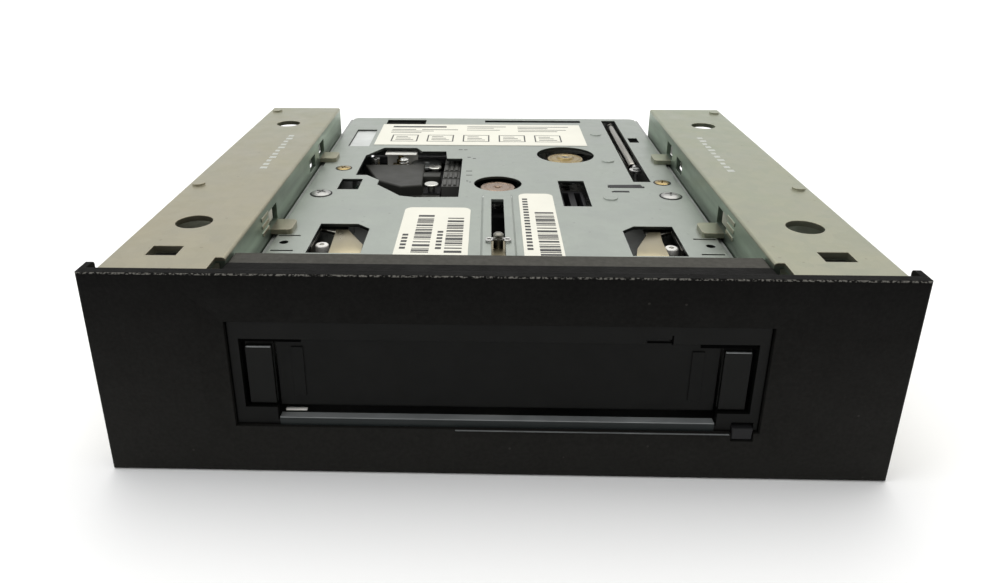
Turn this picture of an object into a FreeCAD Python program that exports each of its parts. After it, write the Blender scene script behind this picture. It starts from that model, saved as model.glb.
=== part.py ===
"""Internal data tape drive for mini cartridges, carried by two side brackets in a wide-bay front bezel.

Every length is in millimetres. X runs across the bezel, Z up from the surface the drive stands on.
Heights and depths are written from the front datum: y = 0 at the bezel's front face, growing to the rear.
Each piece is then placed by half the overall depth, so the finished drive is centred on its own origin.
"""

import FreeCAD
import Part
import math
import os
import re

import Sketcher

SIZES = {
    # Whole drive
    "overall_depth": 154.0,
    "fit_gap": 0.3,
    "running_gap": 0.05,
    # Bezel
    "bezel_width": 148.6,
    "bezel_height": 42.0,
    "bezel_panel": 2.2,
    "bezel_return": 5.3,
    "bezel_side_wall": 1.2,
    "bezel_edge_radius": 0.5,
    "bezel_corner_radius": 0.8,
    "window_width": 98.6,
    "window_bottom": 9.9,
    "window_height": 22.3,
    "window_bevel": 5.0,
    "window_bevel_depth": 0.7,
    # Shelf behind the bezel that closes the gap above the drive
    "shelf_drop": 2.4,
    "shelf_wall": 1.8,
    "shelf_depth": 8.6,
    "shelf_rib": 1.4,
    "seal_depth": 5.2,
    # Snap hooks on the bezel and their slots in the brackets
    "hook_inset": 9.6,
    "hook_width": 5.0,
    "hook_wall": 1.4,
    "slot_width": 5.9,
    "slot_front": 10.9,
    "slot_length": 4.6,
    "barb_height": 0.9,
    # Side brackets
    "bracket_width": 146.0,
    "bracket_front": 4.4,
    "bracket_rear": 133.5,
    "bracket_drop": 1.3,
    "bracket_wall": 1.2,
    "bracket_bend": 0.6,
    "bracket_skirt": 6.5,
    "bracket_foot": 10.4,
    "notch_depth": 5.8,
    "notch_width": 1.8,
    "access_front": 28.5,
    "access_rear": 112.4,
    "access_inset": 10.0,
    "access_radius": 3.8,
    "tab_length": 4.8,
    "tab_width": 6.6,
    "tab_front": 41.0,
    "tab_rear": 97.4,
    "tab_opening": 5.2,
    "relief_place": 84.5,
    "relief_width": 7.0,
    "relief_height": 4.2,
    "bump_place": 51.8,
    "bump_length": 10.0,
    "bump_height": 0.7,
    "stud_inset": 2.6,
    "stud_front": 53.0,
    "stud_rear": 128.6,
    "stud_radius": 1.5,
    "stud_height": 0.5,
    # Wide-bay fixing holes
    "bay_hole_front": 47.4,
    "bay_hole_pitch": 79.24,
    "bay_hole_low": 10.0,
    "bay_hole_high": 21.84,
    "bay_hole_inset": 3.15,
    "bay_hole_radius": 1.6,
    # Drive casing
    "drive_width": 101.2,
    "drive_bottom": 7.6,
    "casing_front": 16.0,
    "casing_back_gap": 1.5,
    "casing_wall": 1.6,
    "deck_top": 13.2,
    "deck_thickness": 1.4,
    "deck_back_gap": 24.0,
    "cover_top": 33.0,
    "cover_thickness": 0.8,
    "cover_width": 98.4,
    "cover_back_gap": 2.0,
    "drive_screw_front": 52.0,
    "drive_screw_pitch": 60.0,
    "drive_screw_height": 6.4,
    "screw_radius": 1.45,
    "screw_head": 2.7,
    "screw_head_height": 1.0,
    # Face frame
    "nose_front": 1.4,
    "nose_bar": 1.3,
    "nose_gap": 0.2,
    "mouth_width": 94.4,
    "mouth_bottom": 13.8,
    "mouth_top": 28.4,
    "sill_width": 82.4,
    "sill_top": 11.4,
    "sill_bottom": 10.3,
    "sill_slope": 0.5,
    "frame_side": 2.2,
    "frame_roof": 1.3,
    "key_notch_place": 29.0,
    "key_notch_width": 4.8,
    "key_notch_height": 0.9,
    # Door and side flaps, all on one rod
    "rod_radius": 0.6,
    "rod_back": 4.1,
    "rod_height": 30.5,
    "knuckle_radius": 1.1,
    "door_width": 81.6,
    "door_front": 3.0,
    "door_plate": 1.5,
    "door_gap": 1.8,
    "door_wedge": 6.0,
    "door_wedge_drop": 0.5,
    "door_rib_place": 36.9,
    "door_rib_width": 2.2,
    "door_rib_height": 10.5,
    "door_rib_depth": 0.25,
    "flap_width": 5.2,
    "flap_pad": 0.9,
    "flap_top": 26.4,
    "spring_wire": 0.35,
    # Light pipe
    "light_place": 46.1,
    "light_width": 3.9,
    "light_bottom": 8.4,
    "light_height": 2.6,
    "light_front": 0.7,
    "light_length": 7.0,
    # Cover openings
    "slot_x": 0.55,
    "slot_half": 1.55,
    "slot_start": 26.0,
    "slot_end": 64.5,
    "channel_half": 3.9,
    "channel_end": 68.4,
    "channel_rise": 0.6,
    "lever_window_inner": 29.0,
    "lever_window_outer": 40.8,
    "lever_window_front": 30.6,
    "lever_window_rear": 48.0,
    "lever_window_cut": 3.0,
    "puck_x": 0.8,
    "puck_y": 78.8,
    "puck_window": 6.4,
    "motor_x": 21.3,
    "motor_y": 106.8,
    "motor_window": 8.5,
    "switch_x": 20.5,
    "switch_front": 61.2,
    "switch_length": 20.4,
    "switch_width": 7.0,
    "switch_top": 30.2,
    "plunger_travel": 1.2,
    "plunger_rise": 1.2,
    "rod_slot_left": 37.4,
    "rod_slot_right": 42.1,
    "rod_slot_front": 81.0,
    "rod_slot_back_gap": 4.5,
    "cover_screw_x": 45.0,
    "cover_screw_y": 69.4,
    "boss_radius": 2.9,
    # Cartridge rails
    "rail_gap": 0.6,
    "rail_wall": 2.6,
    "rail_height": 6.6,
    "rail_lip": 6.0,
    "rail_floor": 1.0,
    "rail_front": 17.0,
    "rail_rear": 64.0,
    # Latch levers
    "pivot_x": 33.2,
    "pivot_y": 26.0,
    "pivot_radius": 1.5,
    "lever_bottom": 29.8,
    "lever_plate": 1.2,
    "roller_x": 39.0,
    "roller_y": 39.2,
    "roller_radius": 1.5,
    "roller_pin": 0.6,
    "roller_length": 6.6,
    # Load slider
    "slider_y": 37.1,
    "slider_length": 12.0,
    "slider_half": 3.6,
    "slider_plate": 1.0,
    "slider_pin_radius": 1.1,
    "slider_pin_rise": 1.9,
    "clip_plate": 0.5,
    # Capstan and motor
    "shaft_radius": 1.5,
    "pulley_bottom": 15.0,
    "pulley_height": 3.0,
    "capstan_pulley_radius": 9.0,
    "motor_pulley_radius": 6.0,
    "belt_thickness": 0.6,
    "belt_width": 2.2,
    "puck_radius": 5.2,
    "puck_bottom": 19.4,
    "puck_height": 6.0,
    "cap_radius": 4.75,
    "cap_height": 0.9,
    "disc_drop": 0.9,
    "can_radius": 14.5,
    "can_bottom": 19.2,
    "can_height": 10.6,
    "bush_radius": 5.3,
    # Head
    "carriage_top": 30.0,
    "carriage_height": 5.6,
    "carriage_travel": 4.4,
    "screw_x": -27.5,
    "screw_y": 109.0,
    "lead_radius": 1.5,
    "stepper_radius": 6.0,
    "stepper_height": 5.4,
    "guide_x": -36.2,
    "guide_y": 108.3,
    "guide_radius": 1.3,
    "comb_left": -14.7,
    "comb_right": -9.9,
    "comb_front": 83.7,
    "comb_rear": 111.0,
    # Circuit board and connectors
    "board_bottom": 8.8,
    "board_thickness": 1.6,
    "board_front": 20.0,
    "board_inset": 0.3,
    "plug_height": 8.8,
    "data_x": -14.0,
    "data_width": 58.0,
    "data_depth": 12.0,
    "power_x": 36.4,
    "power_width": 22.0,
    "power_depth": 18.0,
    "jumper_x": 20.6,
    "jumper_width": 7.6,
    "pin_half": 0.32,
    "pin_pitch": 2.54,
    "power_pitch": 5.08,
    # Labels
    "label_thickness": 0.12,
}

doc = FreeCAD.newDocument("tape_drive")
sheet = doc.addObject("Spreadsheet::Sheet", "sizes")
for row, (size_name, size_value) in enumerate(SIZES.items(), 1):
    sheet.set("A%d" % row, size_name)
    sheet.set("B%d" % row, str(size_value))
    sheet.setAlias("B%d" % row, size_name)
doc.recompute()

# Pieces in the order they are made, and the features whose volume is checked at the end
pieces = []
cuts = []


def bound(formula):
    """The formula as an expression on the sheet, each size with the sheet's name before it."""

    def full_name(match):
        word = match.group()
        return "sizes." + word if word in SIZES else word

    return re.sub(r"[a-z][a-z0-9_]*", full_name, str(formula))


def value(formula):
    """The formula's number in millimetres."""
    return float(sheet.evalExpression(bound(formula)))


def mirrored(formula, side):
    """The formula times side, which is 1 on the right and -1 on the left."""
    return "%d * (%s)" % (side, formula)


def new_body(label, x="0", y="0"):
    """A body placed from the front datum, and moved to x, y where it is turned about its own axis."""
    body = doc.addObject("PartDesign::Body", label)
    body.Label = label
    body.AllowCompound = True
    body.setExpression("Placement.Base.x", bound(x))
    body.setExpression("Placement.Base.y", bound("%s - overall_depth / 2" % y))
    pieces.append(body)
    return body


def new_sketch(body, plane, level):
    """A sketch on one of the body's own planes, moved along its normal by level."""
    sketch = body.newObject("Sketcher::SketchObject", body.Name + "_sketch")
    support = [item for item in body.Origin.OriginFeatures if item.Role == plane + "_Plane"][0]
    sketch.AttachmentSupport = [(support, "")]
    sketch.MapMode = "FlatFace"
    sketch.setExpression("AttachmentOffset.Base.z", bound(level))
    return sketch


def tie_point(sketch, geometry, point, corner):
    """Holds one point of the sketch at a pair of formulas."""
    for kind, formula in zip(("DistanceX", "DistanceY"), corner):
        limit = Sketcher.Constraint(kind, -1, 1, geometry, point, value(formula))
        index = sketch.addConstraint(limit)
        sketch.setExpression("Constraints[%d]" % index, bound(formula))


def draw_outline(sketch, corners):
    """A closed outline of straight edges through the corners."""
    spots = [FreeCAD.Vector(value(x), value(y), 0) for x, y in corners]
    edges = [Part.LineSegment(spot, spots[(i + 1) % len(spots)]) for i, spot in enumerate(spots)]
    first = sketch.addGeometry(edges, False)[0]
    for i in range(len(edges)):
        following = first + (i + 1) % len(edges)
        sketch.addConstraint(Sketcher.Constraint("Coincident", first + i, 2, following, 1))
        tie_point(sketch, first + i, 1, corners[i])


def draw_ring(sketch, x, y, radius):
    """A circle at a place given by formulas."""
    centre = FreeCAD.Vector(value(x), value(y), 0)
    circle = Part.Circle(centre, FreeCAD.Vector(0, 0, 1), value(radius))
    geometry = sketch.addGeometry(circle, False)
    tie_point(sketch, geometry, 3, (x, y))
    index = sketch.addConstraint(Sketcher.Constraint("Radius", geometry, value(radius)))
    sketch.setExpression("Constraints[%d]" % index, bound(radius))


def draw(sketch, loops):
    """Draws each loop: a list of corners, or a circle as (x, y, radius)."""
    for loop in loops:
        if isinstance(loop, tuple):
            draw_ring(sketch, *loop)
        else:
            draw_outline(sketch, loop)


def box(left, low, right, high):
    """The four corners of an upright rectangle."""
    return [(left, low), (right, low), (right, high), (left, high)]


def block(centre_x, centre_y, width, depth):
    """The four corners of a rectangle about its centre."""
    left = "%s - (%s) / 2" % (centre_x, width)
    right = "%s + (%s) / 2" % (centre_x, width)
    low = "%s - (%s) / 2" % (centre_y, depth)
    high = "%s + (%s) / 2" % (centre_y, depth)
    return box(left, low, right, high)


def add(body, plane, start, end, *loops):
    """Pads the loops between two levels. A loop inside another leaves a hole."""
    level = "-(%s)" % end if plane == "XZ" else start
    sketch = new_sketch(body, plane, level)
    draw(sketch, loops)
    feature = body.newObject("PartDesign::Pad", body.Name + "_pad")
    feature.Profile = sketch
    feature.setExpression("Length", bound("(%s) - (%s)" % (end, start)))
    return feature


def cut(body, plane, start, end, *loops):
    """Pockets the loops between two levels."""
    level = "-(%s)" % start if plane == "XZ" else end
    sketch = new_sketch(body, plane, level)
    draw(sketch, loops)
    feature = body.newObject("PartDesign::Pocket", body.Name + "_pocket")
    feature.Profile = sketch
    feature.setExpression("Length", bound("(%s) - (%s)" % (end, start)))
    cuts.append(feature)
    return feature


def spin(body, corners):
    """Turns a half section, given as (radius, height) corners, about the body's upright axis."""
    sketch = new_sketch(body, "XZ", "0")
    draw_outline(sketch, corners)
    feature = body.newObject("PartDesign::Revolution", body.Name + "_turned")
    feature.Profile = sketch
    feature.ReferenceAxis = (sketch, ["V_Axis"])
    feature.Angle = 360
    return feature


def dress(body, kind, size, wanted):
    """Rounds or chamfers the edges of the body's last feature that the test picks."""
    doc.recompute()
    base = body.Tip
    names = ["Edge%d" % (i + 1) for i, edge in enumerate(base.Shape.Edges) if wanted(edge)]
    if not names:
        raise RuntimeError("no edge to dress on " + body.Label)
    feature = body.newObject("PartDesign::" + kind, body.Name + "_" + kind.lower())
    feature.Base = (base, names)
    feature.setExpression("Radius" if kind == "Fillet" else "Size", bound(size))
    return feature


def runs_along(edge, axis):
    """True for a straight edge along the axis, 0 to 2."""
    if not isinstance(edge.Curve, Part.Line):
        return False
    return abs(abs(edge.tangentAt(edge.FirstParameter)[axis]) - 1) < 1e-6


def near(number, formula):
    """True where the number is the formula's value."""
    return abs(number - value(formula)) < 1e-3


# Heights, depths and half widths that several pieces share
drive_half = "drive_width / 2"
shelf_top = "(bezel_height - shelf_drop)"
bracket_top = "(bezel_height - bracket_drop)"
hook_place = "(bracket_width / 2 - hook_inset)"
deck_end = "(overall_depth - deck_back_gap)"
wall_inside = "(drive_width / 2 - casing_wall)"
casing_top = "(cover_top - cover_thickness)"
casing_back = "(overall_depth - casing_back_gap)"
deck_under = "(deck_top - deck_thickness)"
board_top = "(board_bottom + board_thickness)"
bracket_inner = "(drive_width / 2 + fit_gap)"
bracket_outer = "(bracket_width / 2)"
shelf_end = "(bezel_panel + shelf_depth)"
flange_under = "(%s - bracket_wall)" % bracket_top
nose_back = "(nose_front + nose_bar)"
door_bottom = "(sill_top + door_gap)"
door_top = "(rod_height - knuckle_radius - 0.1)"
hinge_line = ("rod_back", "rod_height")
bay_holes_y = ["bezel_panel + bay_hole_front", "bezel_panel + bay_hole_front + bay_hole_pitch"]
drive_screws_y = ["drive_screw_front", "drive_screw_front + drive_screw_pitch"]
drive_screw_z = "drive_bottom + drive_screw_height"
standoffs = [(x, y) for x in ("-44", "44") for y in ("board_front + 6", "%s - 8" % deck_end)]
boss_screws = [("-cover_screw_x", "cover_screw_y"), ("cover_screw_x", "cover_screw_y")]
small_screws = [("cover_screw_x", "cover_screw_y + 11"), ("-42.9", "cover_screw_y + 22.3")]


def across(side, inner, outer):
    """The levels along X of a span from inner to outer, on the right (1) or the left (-1)."""
    if side > 0:
        return inner, outer
    return "-(%s)" % outer, "-(%s)" % inner


def make_bezel():
    """Front bezel: bevelled window, ends that return, shelf, ribs and snap hooks."""
    bezel = new_body("bezel")
    front = block("0", "bezel_height / 2", "bezel_width", "bezel_height")
    add(bezel, "XZ", "0", "bezel_return", front)
    inside = "bezel_width - 2 * bezel_side_wall"
    cut(bezel, "XZ", "bezel_panel", "bezel_return", block("0", "bezel_height / 2", inside, "bezel_height + 2"))
    dress(bezel, "Fillet", "bezel_edge_radius", lambda edge: near(edge.BoundBox.YMax, "0"))
    dress(
        bezel, "Fillet", "bezel_corner_radius",
        lambda edge: runs_along(edge, 0)
        and near(edge.BoundBox.YMin, "bezel_return")
        and near(edge.BoundBox.ZMin, "bezel_height"),
    )
    middle = "window_bottom + window_height / 2"
    cut(bezel, "XZ", "0", "bezel_panel", block("0", middle, "window_width", "window_height"))
    outer = new_sketch(bezel, "XZ", "0")
    draw(outer, [block("0", middle, "window_width + 2 * window_bevel", "window_height + 2 * window_bevel")])
    inner = new_sketch(bezel, "XZ", "-window_bevel_depth")
    draw(inner, [block("0", middle, "window_width", "window_height")])
    bevel = bezel.newObject("PartDesign::SubtractiveLoft", "bezel_bevel")
    bevel.Profile = outer
    bevel.Sections = [inner]
    cuts.append(bevel)
    light = block("light_place", "window_bottom", "light_width + fit_gap", "2 * (window_bottom - light_bottom) + 0.2")
    cut(bezel, "XZ", "0", "bezel_panel", light)
    lip_half = "(%s - hook_width)" % hook_place
    lip = box("-%s" % lip_half, "0", lip_half, "bracket_wall")
    add(bezel, "XZ", "bezel_panel", "bezel_return", lip)
    shelf_under = "(%s - shelf_wall)" % shelf_top
    shelf = box("-%s" % drive_half, shelf_under, drive_half, shelf_top)
    add(bezel, "XZ", "bezel_panel", shelf_end, shelf)
    dress(
        bezel, "Chamfer", "bezel_edge_radius",
        lambda edge: runs_along(edge, 0)
        and near(edge.BoundBox.YMin, shelf_end)
        and near(edge.BoundBox.ZMin, shelf_top),
    )
    rib_places = ["(%s - shelf_rib / 2) * %.1f" % (drive_half, share) for share in (-1, -0.5, 0, 0.5, 1)]
    ribs = [
        box("%s - shelf_rib / 2" % x, "cover_top + fit_gap", "%s + shelf_rib / 2" % x, shelf_under)
        for x in rib_places
    ]
    add(bezel, "XZ", "bezel_panel", shelf_end, *ribs)
    for side in (-1, 1):
        hook_x = mirrored(hook_place, side)
        hook_top = "%s - fit_gap" % flange_under
        hook_end = "slot_front + slot_length - fit_gap"
        arm = box(
            "%s - hook_width / 2" % hook_x, "%s - hook_wall" % hook_top, "%s + hook_width / 2" % hook_x, hook_top,
        )
        add(bezel, "XZ", "bezel_panel", hook_end, arm)
        barb = [
            ("slot_front + fit_gap", hook_top),
            (hook_end, hook_top),
            ("slot_front + fit_gap", "%s + barb_height" % hook_top),
        ]
        add(bezel, "YZ", "%s - hook_width / 2" % hook_x, "%s + hook_width / 2" % hook_x, barb)


def make_face_frame():
    """The drive's own moulded front: nose in the bezel window, mouth, sill and hollow for the doors."""
    frame = new_body("face_frame")
    back = "casing_front"
    start = "bezel_panel + nose_gap"
    add(frame, "XZ", start, back, box("-%s" % drive_half, "drive_bottom", drive_half, "cover_top"))
    nose = block("0", "window_bottom + window_height / 2", "window_width - 2 * fit_gap", "window_height - 2 * fit_gap")
    add(frame, "XZ", "nose_front", start, nose)
    side = "(%s - frame_side)" % drive_half
    cut(frame, "XZ", nose_back, back, box("-%s" % side, "sill_top", side, "cover_top - frame_roof"))
    mouth = [
        ("-mouth_width / 2", "mouth_bottom"),
        ("-sill_width / 2", "mouth_bottom"),
        ("-sill_width / 2", "sill_top"),
        ("sill_width / 2", "sill_top"),
        ("sill_width / 2", "mouth_bottom"),
        ("mouth_width / 2", "mouth_bottom"),
        ("mouth_width / 2", "mouth_top"),
        ("-mouth_width / 2", "mouth_top"),
    ]
    cut(frame, "XZ", "nose_front", nose_back, mouth)
    notch = block("key_notch_place", "mouth_top", "key_notch_width", "2 * key_notch_height")
    cut(frame, "XZ", "nose_front", nose_back, notch)
    slope = [
        ("nose_front", "sill_top - sill_slope"),
        ("nose_front + sill_slope", "sill_top"),
        ("nose_front", "sill_top"),
    ]
    cut(frame, "YZ", "-sill_width / 2", "sill_width / 2", slope)
    for x in (-1, 1):
        hole = hinge_line + ("rod_radius + running_gap",)
        cut(frame, "YZ", *across(x, side, "%s + frame_side / 2" % side), hole)
    under = box("-%s" % side, "nose_front + 3", side, "casing_front - 1.5")
    cut(frame, "XY", "drive_bottom", "sill_bottom", under)
    pipe = box(
        "light_place - light_width / 2 - 0.1", "light_bottom", "light_place + light_width / 2 + 0.1",
        "light_bottom + light_height + 0.1",
    )
    cut(frame, "XZ", "nose_front", "light_front + light_length", pipe)
    shadow = block("light_place", "light_bottom + light_height", "light_width + 0.2", "1.8")
    cut(frame, "XZ", "nose_front", nose_back, shadow)


def make_dust_seal():
    """Foam strip between the bezel's shelf and the drive's cover."""
    seal = new_body("dust_seal")
    strip_top = "(%s - fit_gap)" % shelf_top
    strip = box("-%s" % drive_half, "cover_top", drive_half, strip_top)
    add(seal, "XZ", shelf_end, "%s + seal_depth" % shelf_end, strip)
    dress(
        seal, "Fillet", "bezel_edge_radius",
        lambda edge: runs_along(edge, 0)
        and near(edge.BoundBox.YMin, "%s + seal_depth" % shelf_end)
        and near(edge.BoundBox.ZMin, strip_top),
    )


def add_knuckle(body, start, end):
    """A hinge knuckle on the rod's line, with the web that joins it to the plate."""
    web = box("door_front", "rod_height - 2 * knuckle_radius", "door_front + door_plate", "rod_height")
    add(body, "YZ", start, end, web)
    add(body, "YZ", start, end, hinge_line + ("knuckle_radius",))


def make_door():
    """Centre door: a ribbed plate on three knuckles."""
    door = new_body("cartridge_door")
    half = "door_width / 2"
    add(door, "XZ", "door_front", "door_front + door_plate", box("-%s" % half, door_bottom, half, door_top))
    ribs = [
        block(mirrored("door_rib_place", side), "(%s + mouth_top) / 2" % door_bottom, "door_rib_width", "door_rib_height")
        for side in (-1, 1)
    ]
    add(door, "XZ", "door_front - door_rib_depth", "door_front", *ribs)
    stiffeners = [block(x, "(%s + mouth_top) / 2" % door_bottom, "1.2", "10") for x in ("-20", "0", "20")]
    add(door, "XZ", "door_front + door_plate", "door_front + door_plate + 0.8", *stiffeners)
    for side in (-1, 1):
        wedge = [
            (mirrored(half, side), "mouth_top - door_wedge_drop"),
            (mirrored(half, side), door_top),
            (mirrored("%s - door_wedge" % half, side), door_top),
            (mirrored("%s - door_wedge" % half, side), "mouth_top"),
        ]
        cut(door, "XZ", "door_front", "door_front + door_plate", wedge)
    for start, end in (("-%s" % half, "-30"), ("-6", "6"), ("30", half)):
        add_knuckle(door, start, end)
    cut(door, "YZ", "-%s" % half, half, hinge_line + ("rod_radius + running_gap",))
    dress(
        door, "Fillet", "0.4",
        lambda edge: runs_along(edge, 0)
        and near(edge.BoundBox.YMin, "door_front")
        and near(edge.BoundBox.ZMin, door_bottom),
    )


def make_flap(label, side):
    """Side flap for wide cartridges: a plate with a raised front pad on its own knuckle."""
    flap = new_body(label)
    inner = "(door_width / 2 + fit_gap + 0.2)"
    outer = "(%s + flap_width)" % inner
    start, end = across(side, inner, outer)
    add(flap, "XZ", "door_front", "door_front + door_plate", box(start, "mouth_bottom + fit_gap", end, door_top))
    pad = box("%s + 0.15" % start, "mouth_bottom + fit_gap", "%s - 0.15" % end, "flap_top")
    add(flap, "XZ", "door_front - flap_pad", "door_front", pad)
    dress(
        flap, "Fillet", "0.3",
        lambda edge: runs_along(edge, 0) and near(edge.BoundBox.YMax, "door_front - flap_pad"),
    )
    add_knuckle(flap, start, end)
    cut(flap, "YZ", start, end, hinge_line + ("rod_radius + running_gap",))


def make_hinge():
    """The hinge rod and the closing springs wound on it."""
    rod = new_body("hinge_rod")
    reach = "(%s - frame_side / 2 - fit_gap)" % drive_half
    add(rod, "YZ", "-%s" % reach, reach, hinge_line + ("rod_radius",))
    springs = new_body("door_springs")
    coil = hinge_line + ("rod_radius + running_gap + spring_wire",)
    core = hinge_line + ("rod_radius + running_gap",)
    flap_end = "door_width / 2 + fit_gap + 0.2 + flap_width + fit_gap"
    leg = box("rod_back + rod_radius", "rod_height", "rod_back + rod_radius + spring_wire", "cover_top - frame_roof")
    for side in (-1, 1):
        for inner, outer in (("9", "14"), (flap_end, "%s - frame_side - fit_gap" % drive_half)):
            start, end = across(side, inner, outer)
            add(springs, "YZ", start, end, coil, core)
            add(springs, "YZ", start, "%s + spring_wire" % start, leg)


def make_light_pipe():
    """Activity light pipe beside the mouth."""
    pipe = new_body("light_pipe")
    rod = box(
        "light_place - light_width / 2", "light_bottom + 0.1", "light_place + light_width / 2",
        "light_bottom + light_height",
    )
    add(pipe, "XZ", "light_front", "light_front + light_length", rod)
    dress(pipe, "Fillet", "0.35", lambda edge: near(edge.BoundBox.YMax, "light_front"))


def make_bracket(label, side):
    """Side bracket: folded channel with bent tabs, snap slot, access holes and bay fixing holes."""
    bracket = new_body(label)
    inner, outer, wall = bracket_inner, bracket_outer, "bracket_wall"
    section = [
        (inner, "bracket_skirt"),
        ("%s + %s" % (inner, wall), "bracket_skirt"),
        ("%s + %s" % (inner, wall), flange_under),
        ("%s - %s" % (outer, wall), flange_under),
        ("%s - %s" % (outer, wall), wall),
        ("%s - bracket_foot" % outer, wall),
        ("%s - bracket_foot" % outer, "0"),
        (outer, "0"),
        (outer, bracket_top),
        (inner, bracket_top),
    ]
    folded = [(mirrored(x, side), z) for x, z in section]
    add(bracket, "XZ", "bracket_front", "bracket_rear", folded)
    dress(
        bracket, "Fillet", "bracket_bend",
        lambda edge: runs_along(edge, 1)
        and (
            near(edge.BoundBox.ZMin, bracket_top)
            or near(abs(edge.BoundBox.XMin), outer) and near(edge.BoundBox.ZMin, "0")
        ),
    )
    notch = box(
        mirrored("%s - 1" % inner, side), "bracket_front - 1", mirrored("%s + notch_width" % inner, side),
        "bracket_front + notch_depth",
    )
    cut(bracket, "XY", "bracket_skirt - 1", "%s + 1" % bracket_top, notch)
    access = mirrored("%s - access_inset" % outer, side)
    slot = block(mirrored(hook_place, side), "slot_front + slot_length / 2", "slot_width", "slot_length")
    cut(
        bracket, "XY", "%s - 0.5" % flange_under, "%s + 0.5" % bracket_top,
        (access, "access_front", "access_radius"), (access, "access_rear", "access_radius - 0.3"), slot,
    )
    tab_z = "cover_top"
    tabs = [
        box(mirrored("%s - tab_length" % inner, side), y, mirrored("%s + %s / 2" % (inner, wall), side), "%s + tab_width" % y)
        for y in ("tab_front", "tab_rear")
    ]
    add(bracket, "XY", tab_z, "%s + %s" % (tab_z, wall), *tabs)
    tip = mirrored("%s - tab_length" % inner, side)
    dress(bracket, "Fillet", "1.2", lambda edge: runs_along(edge, 2) and near(edge.BoundBox.XMin, tip))
    lances = [
        box("%s - 0.4" % y, "%s + %s" % (tab_z, wall), "%s + tab_width + 0.4" % y, "%s + tab_opening" % tab_z)
        for y in ("tab_front", "tab_rear")
    ]
    relief = box(
        "relief_place", "%s + 0.6" % tab_z, "relief_place + relief_width", "%s + relief_height" % tab_z,
    )
    wall_span = across(side, "%s - 0.2" % inner, "%s + %s + 0.2" % (inner, wall))
    cut(bracket, "YZ", *wall_span, relief, *lances)
    screws = [(y, drive_screw_z, "screw_radius + fit_gap / 2") for y in drive_screws_y]
    cut(bracket, "YZ", *wall_span, *screws)
    stripes = [
        box("tab_front - 6", "%s + %d * 1.7" % (tab_z, i), "tab_front - 0.8", "%s + %d * 1.7 + 0.8" % (tab_z, i))
        for i in (1, 2, 3)
    ]
    add(bracket, "YZ", *across(side, "%s - 0.2" % inner, "%s + 0.2" % inner), *stripes)
    bump = box("bump_place - bump_length / 2", "cover_top", "bump_place + bump_length / 2", "%s - 2" % bracket_top)
    add(bracket, "YZ", *across(side, "%s - 0.3" % outer, "%s + bump_height" % outer), bump)
    bump_face = mirrored("%s + bump_height" % outer, side)
    dress(
        bracket, "Chamfer", "bump_height * 0.8",
        lambda edge: near(edge.BoundBox.XMin, bump_face) and near(edge.BoundBox.XMax, bump_face),
    )
    stud_x = mirrored("%s - stud_inset" % outer, side)
    studs = [(stud_x, y, "stud_radius") for y in ("stud_front", "stud_rear")]
    add(bracket, "XY", "%s - 0.2" % bracket_top, "%s + stud_height" % bracket_top, *studs)
    side_holes = [(y, z, "bay_hole_radius") for y in bay_holes_y for z in ("bay_hole_low", "bay_hole_high")]
    cut(bracket, "YZ", *across(side, "%s - %s - 0.2" % (outer, wall), "%s + 0.2" % outer), *side_holes)
    foot_holes = [(mirrored("%s - bay_hole_inset" % outer, side), y, "bay_hole_radius") for y in bay_holes_y]
    cut(bracket, "XY", "-0.2", "%s + 0.2" % wall, *foot_holes)


def make_bracket_screws():
    """Screws through the brackets' inner walls into the drive's sides."""
    screws = new_body("bracket_screws")
    face = "(%s + bracket_wall)" % bracket_inner
    for side in (-1, 1):
        shanks = [(y, drive_screw_z, "screw_radius") for y in drive_screws_y]
        heads = [(y, drive_screw_z, "screw_head") for y in drive_screws_y]
        add(screws, "YZ", *across(side, wall_inside, face), *shanks)
        add(screws, "YZ", *across(side, face, "%s + screw_head_height" % face), *heads)


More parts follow.
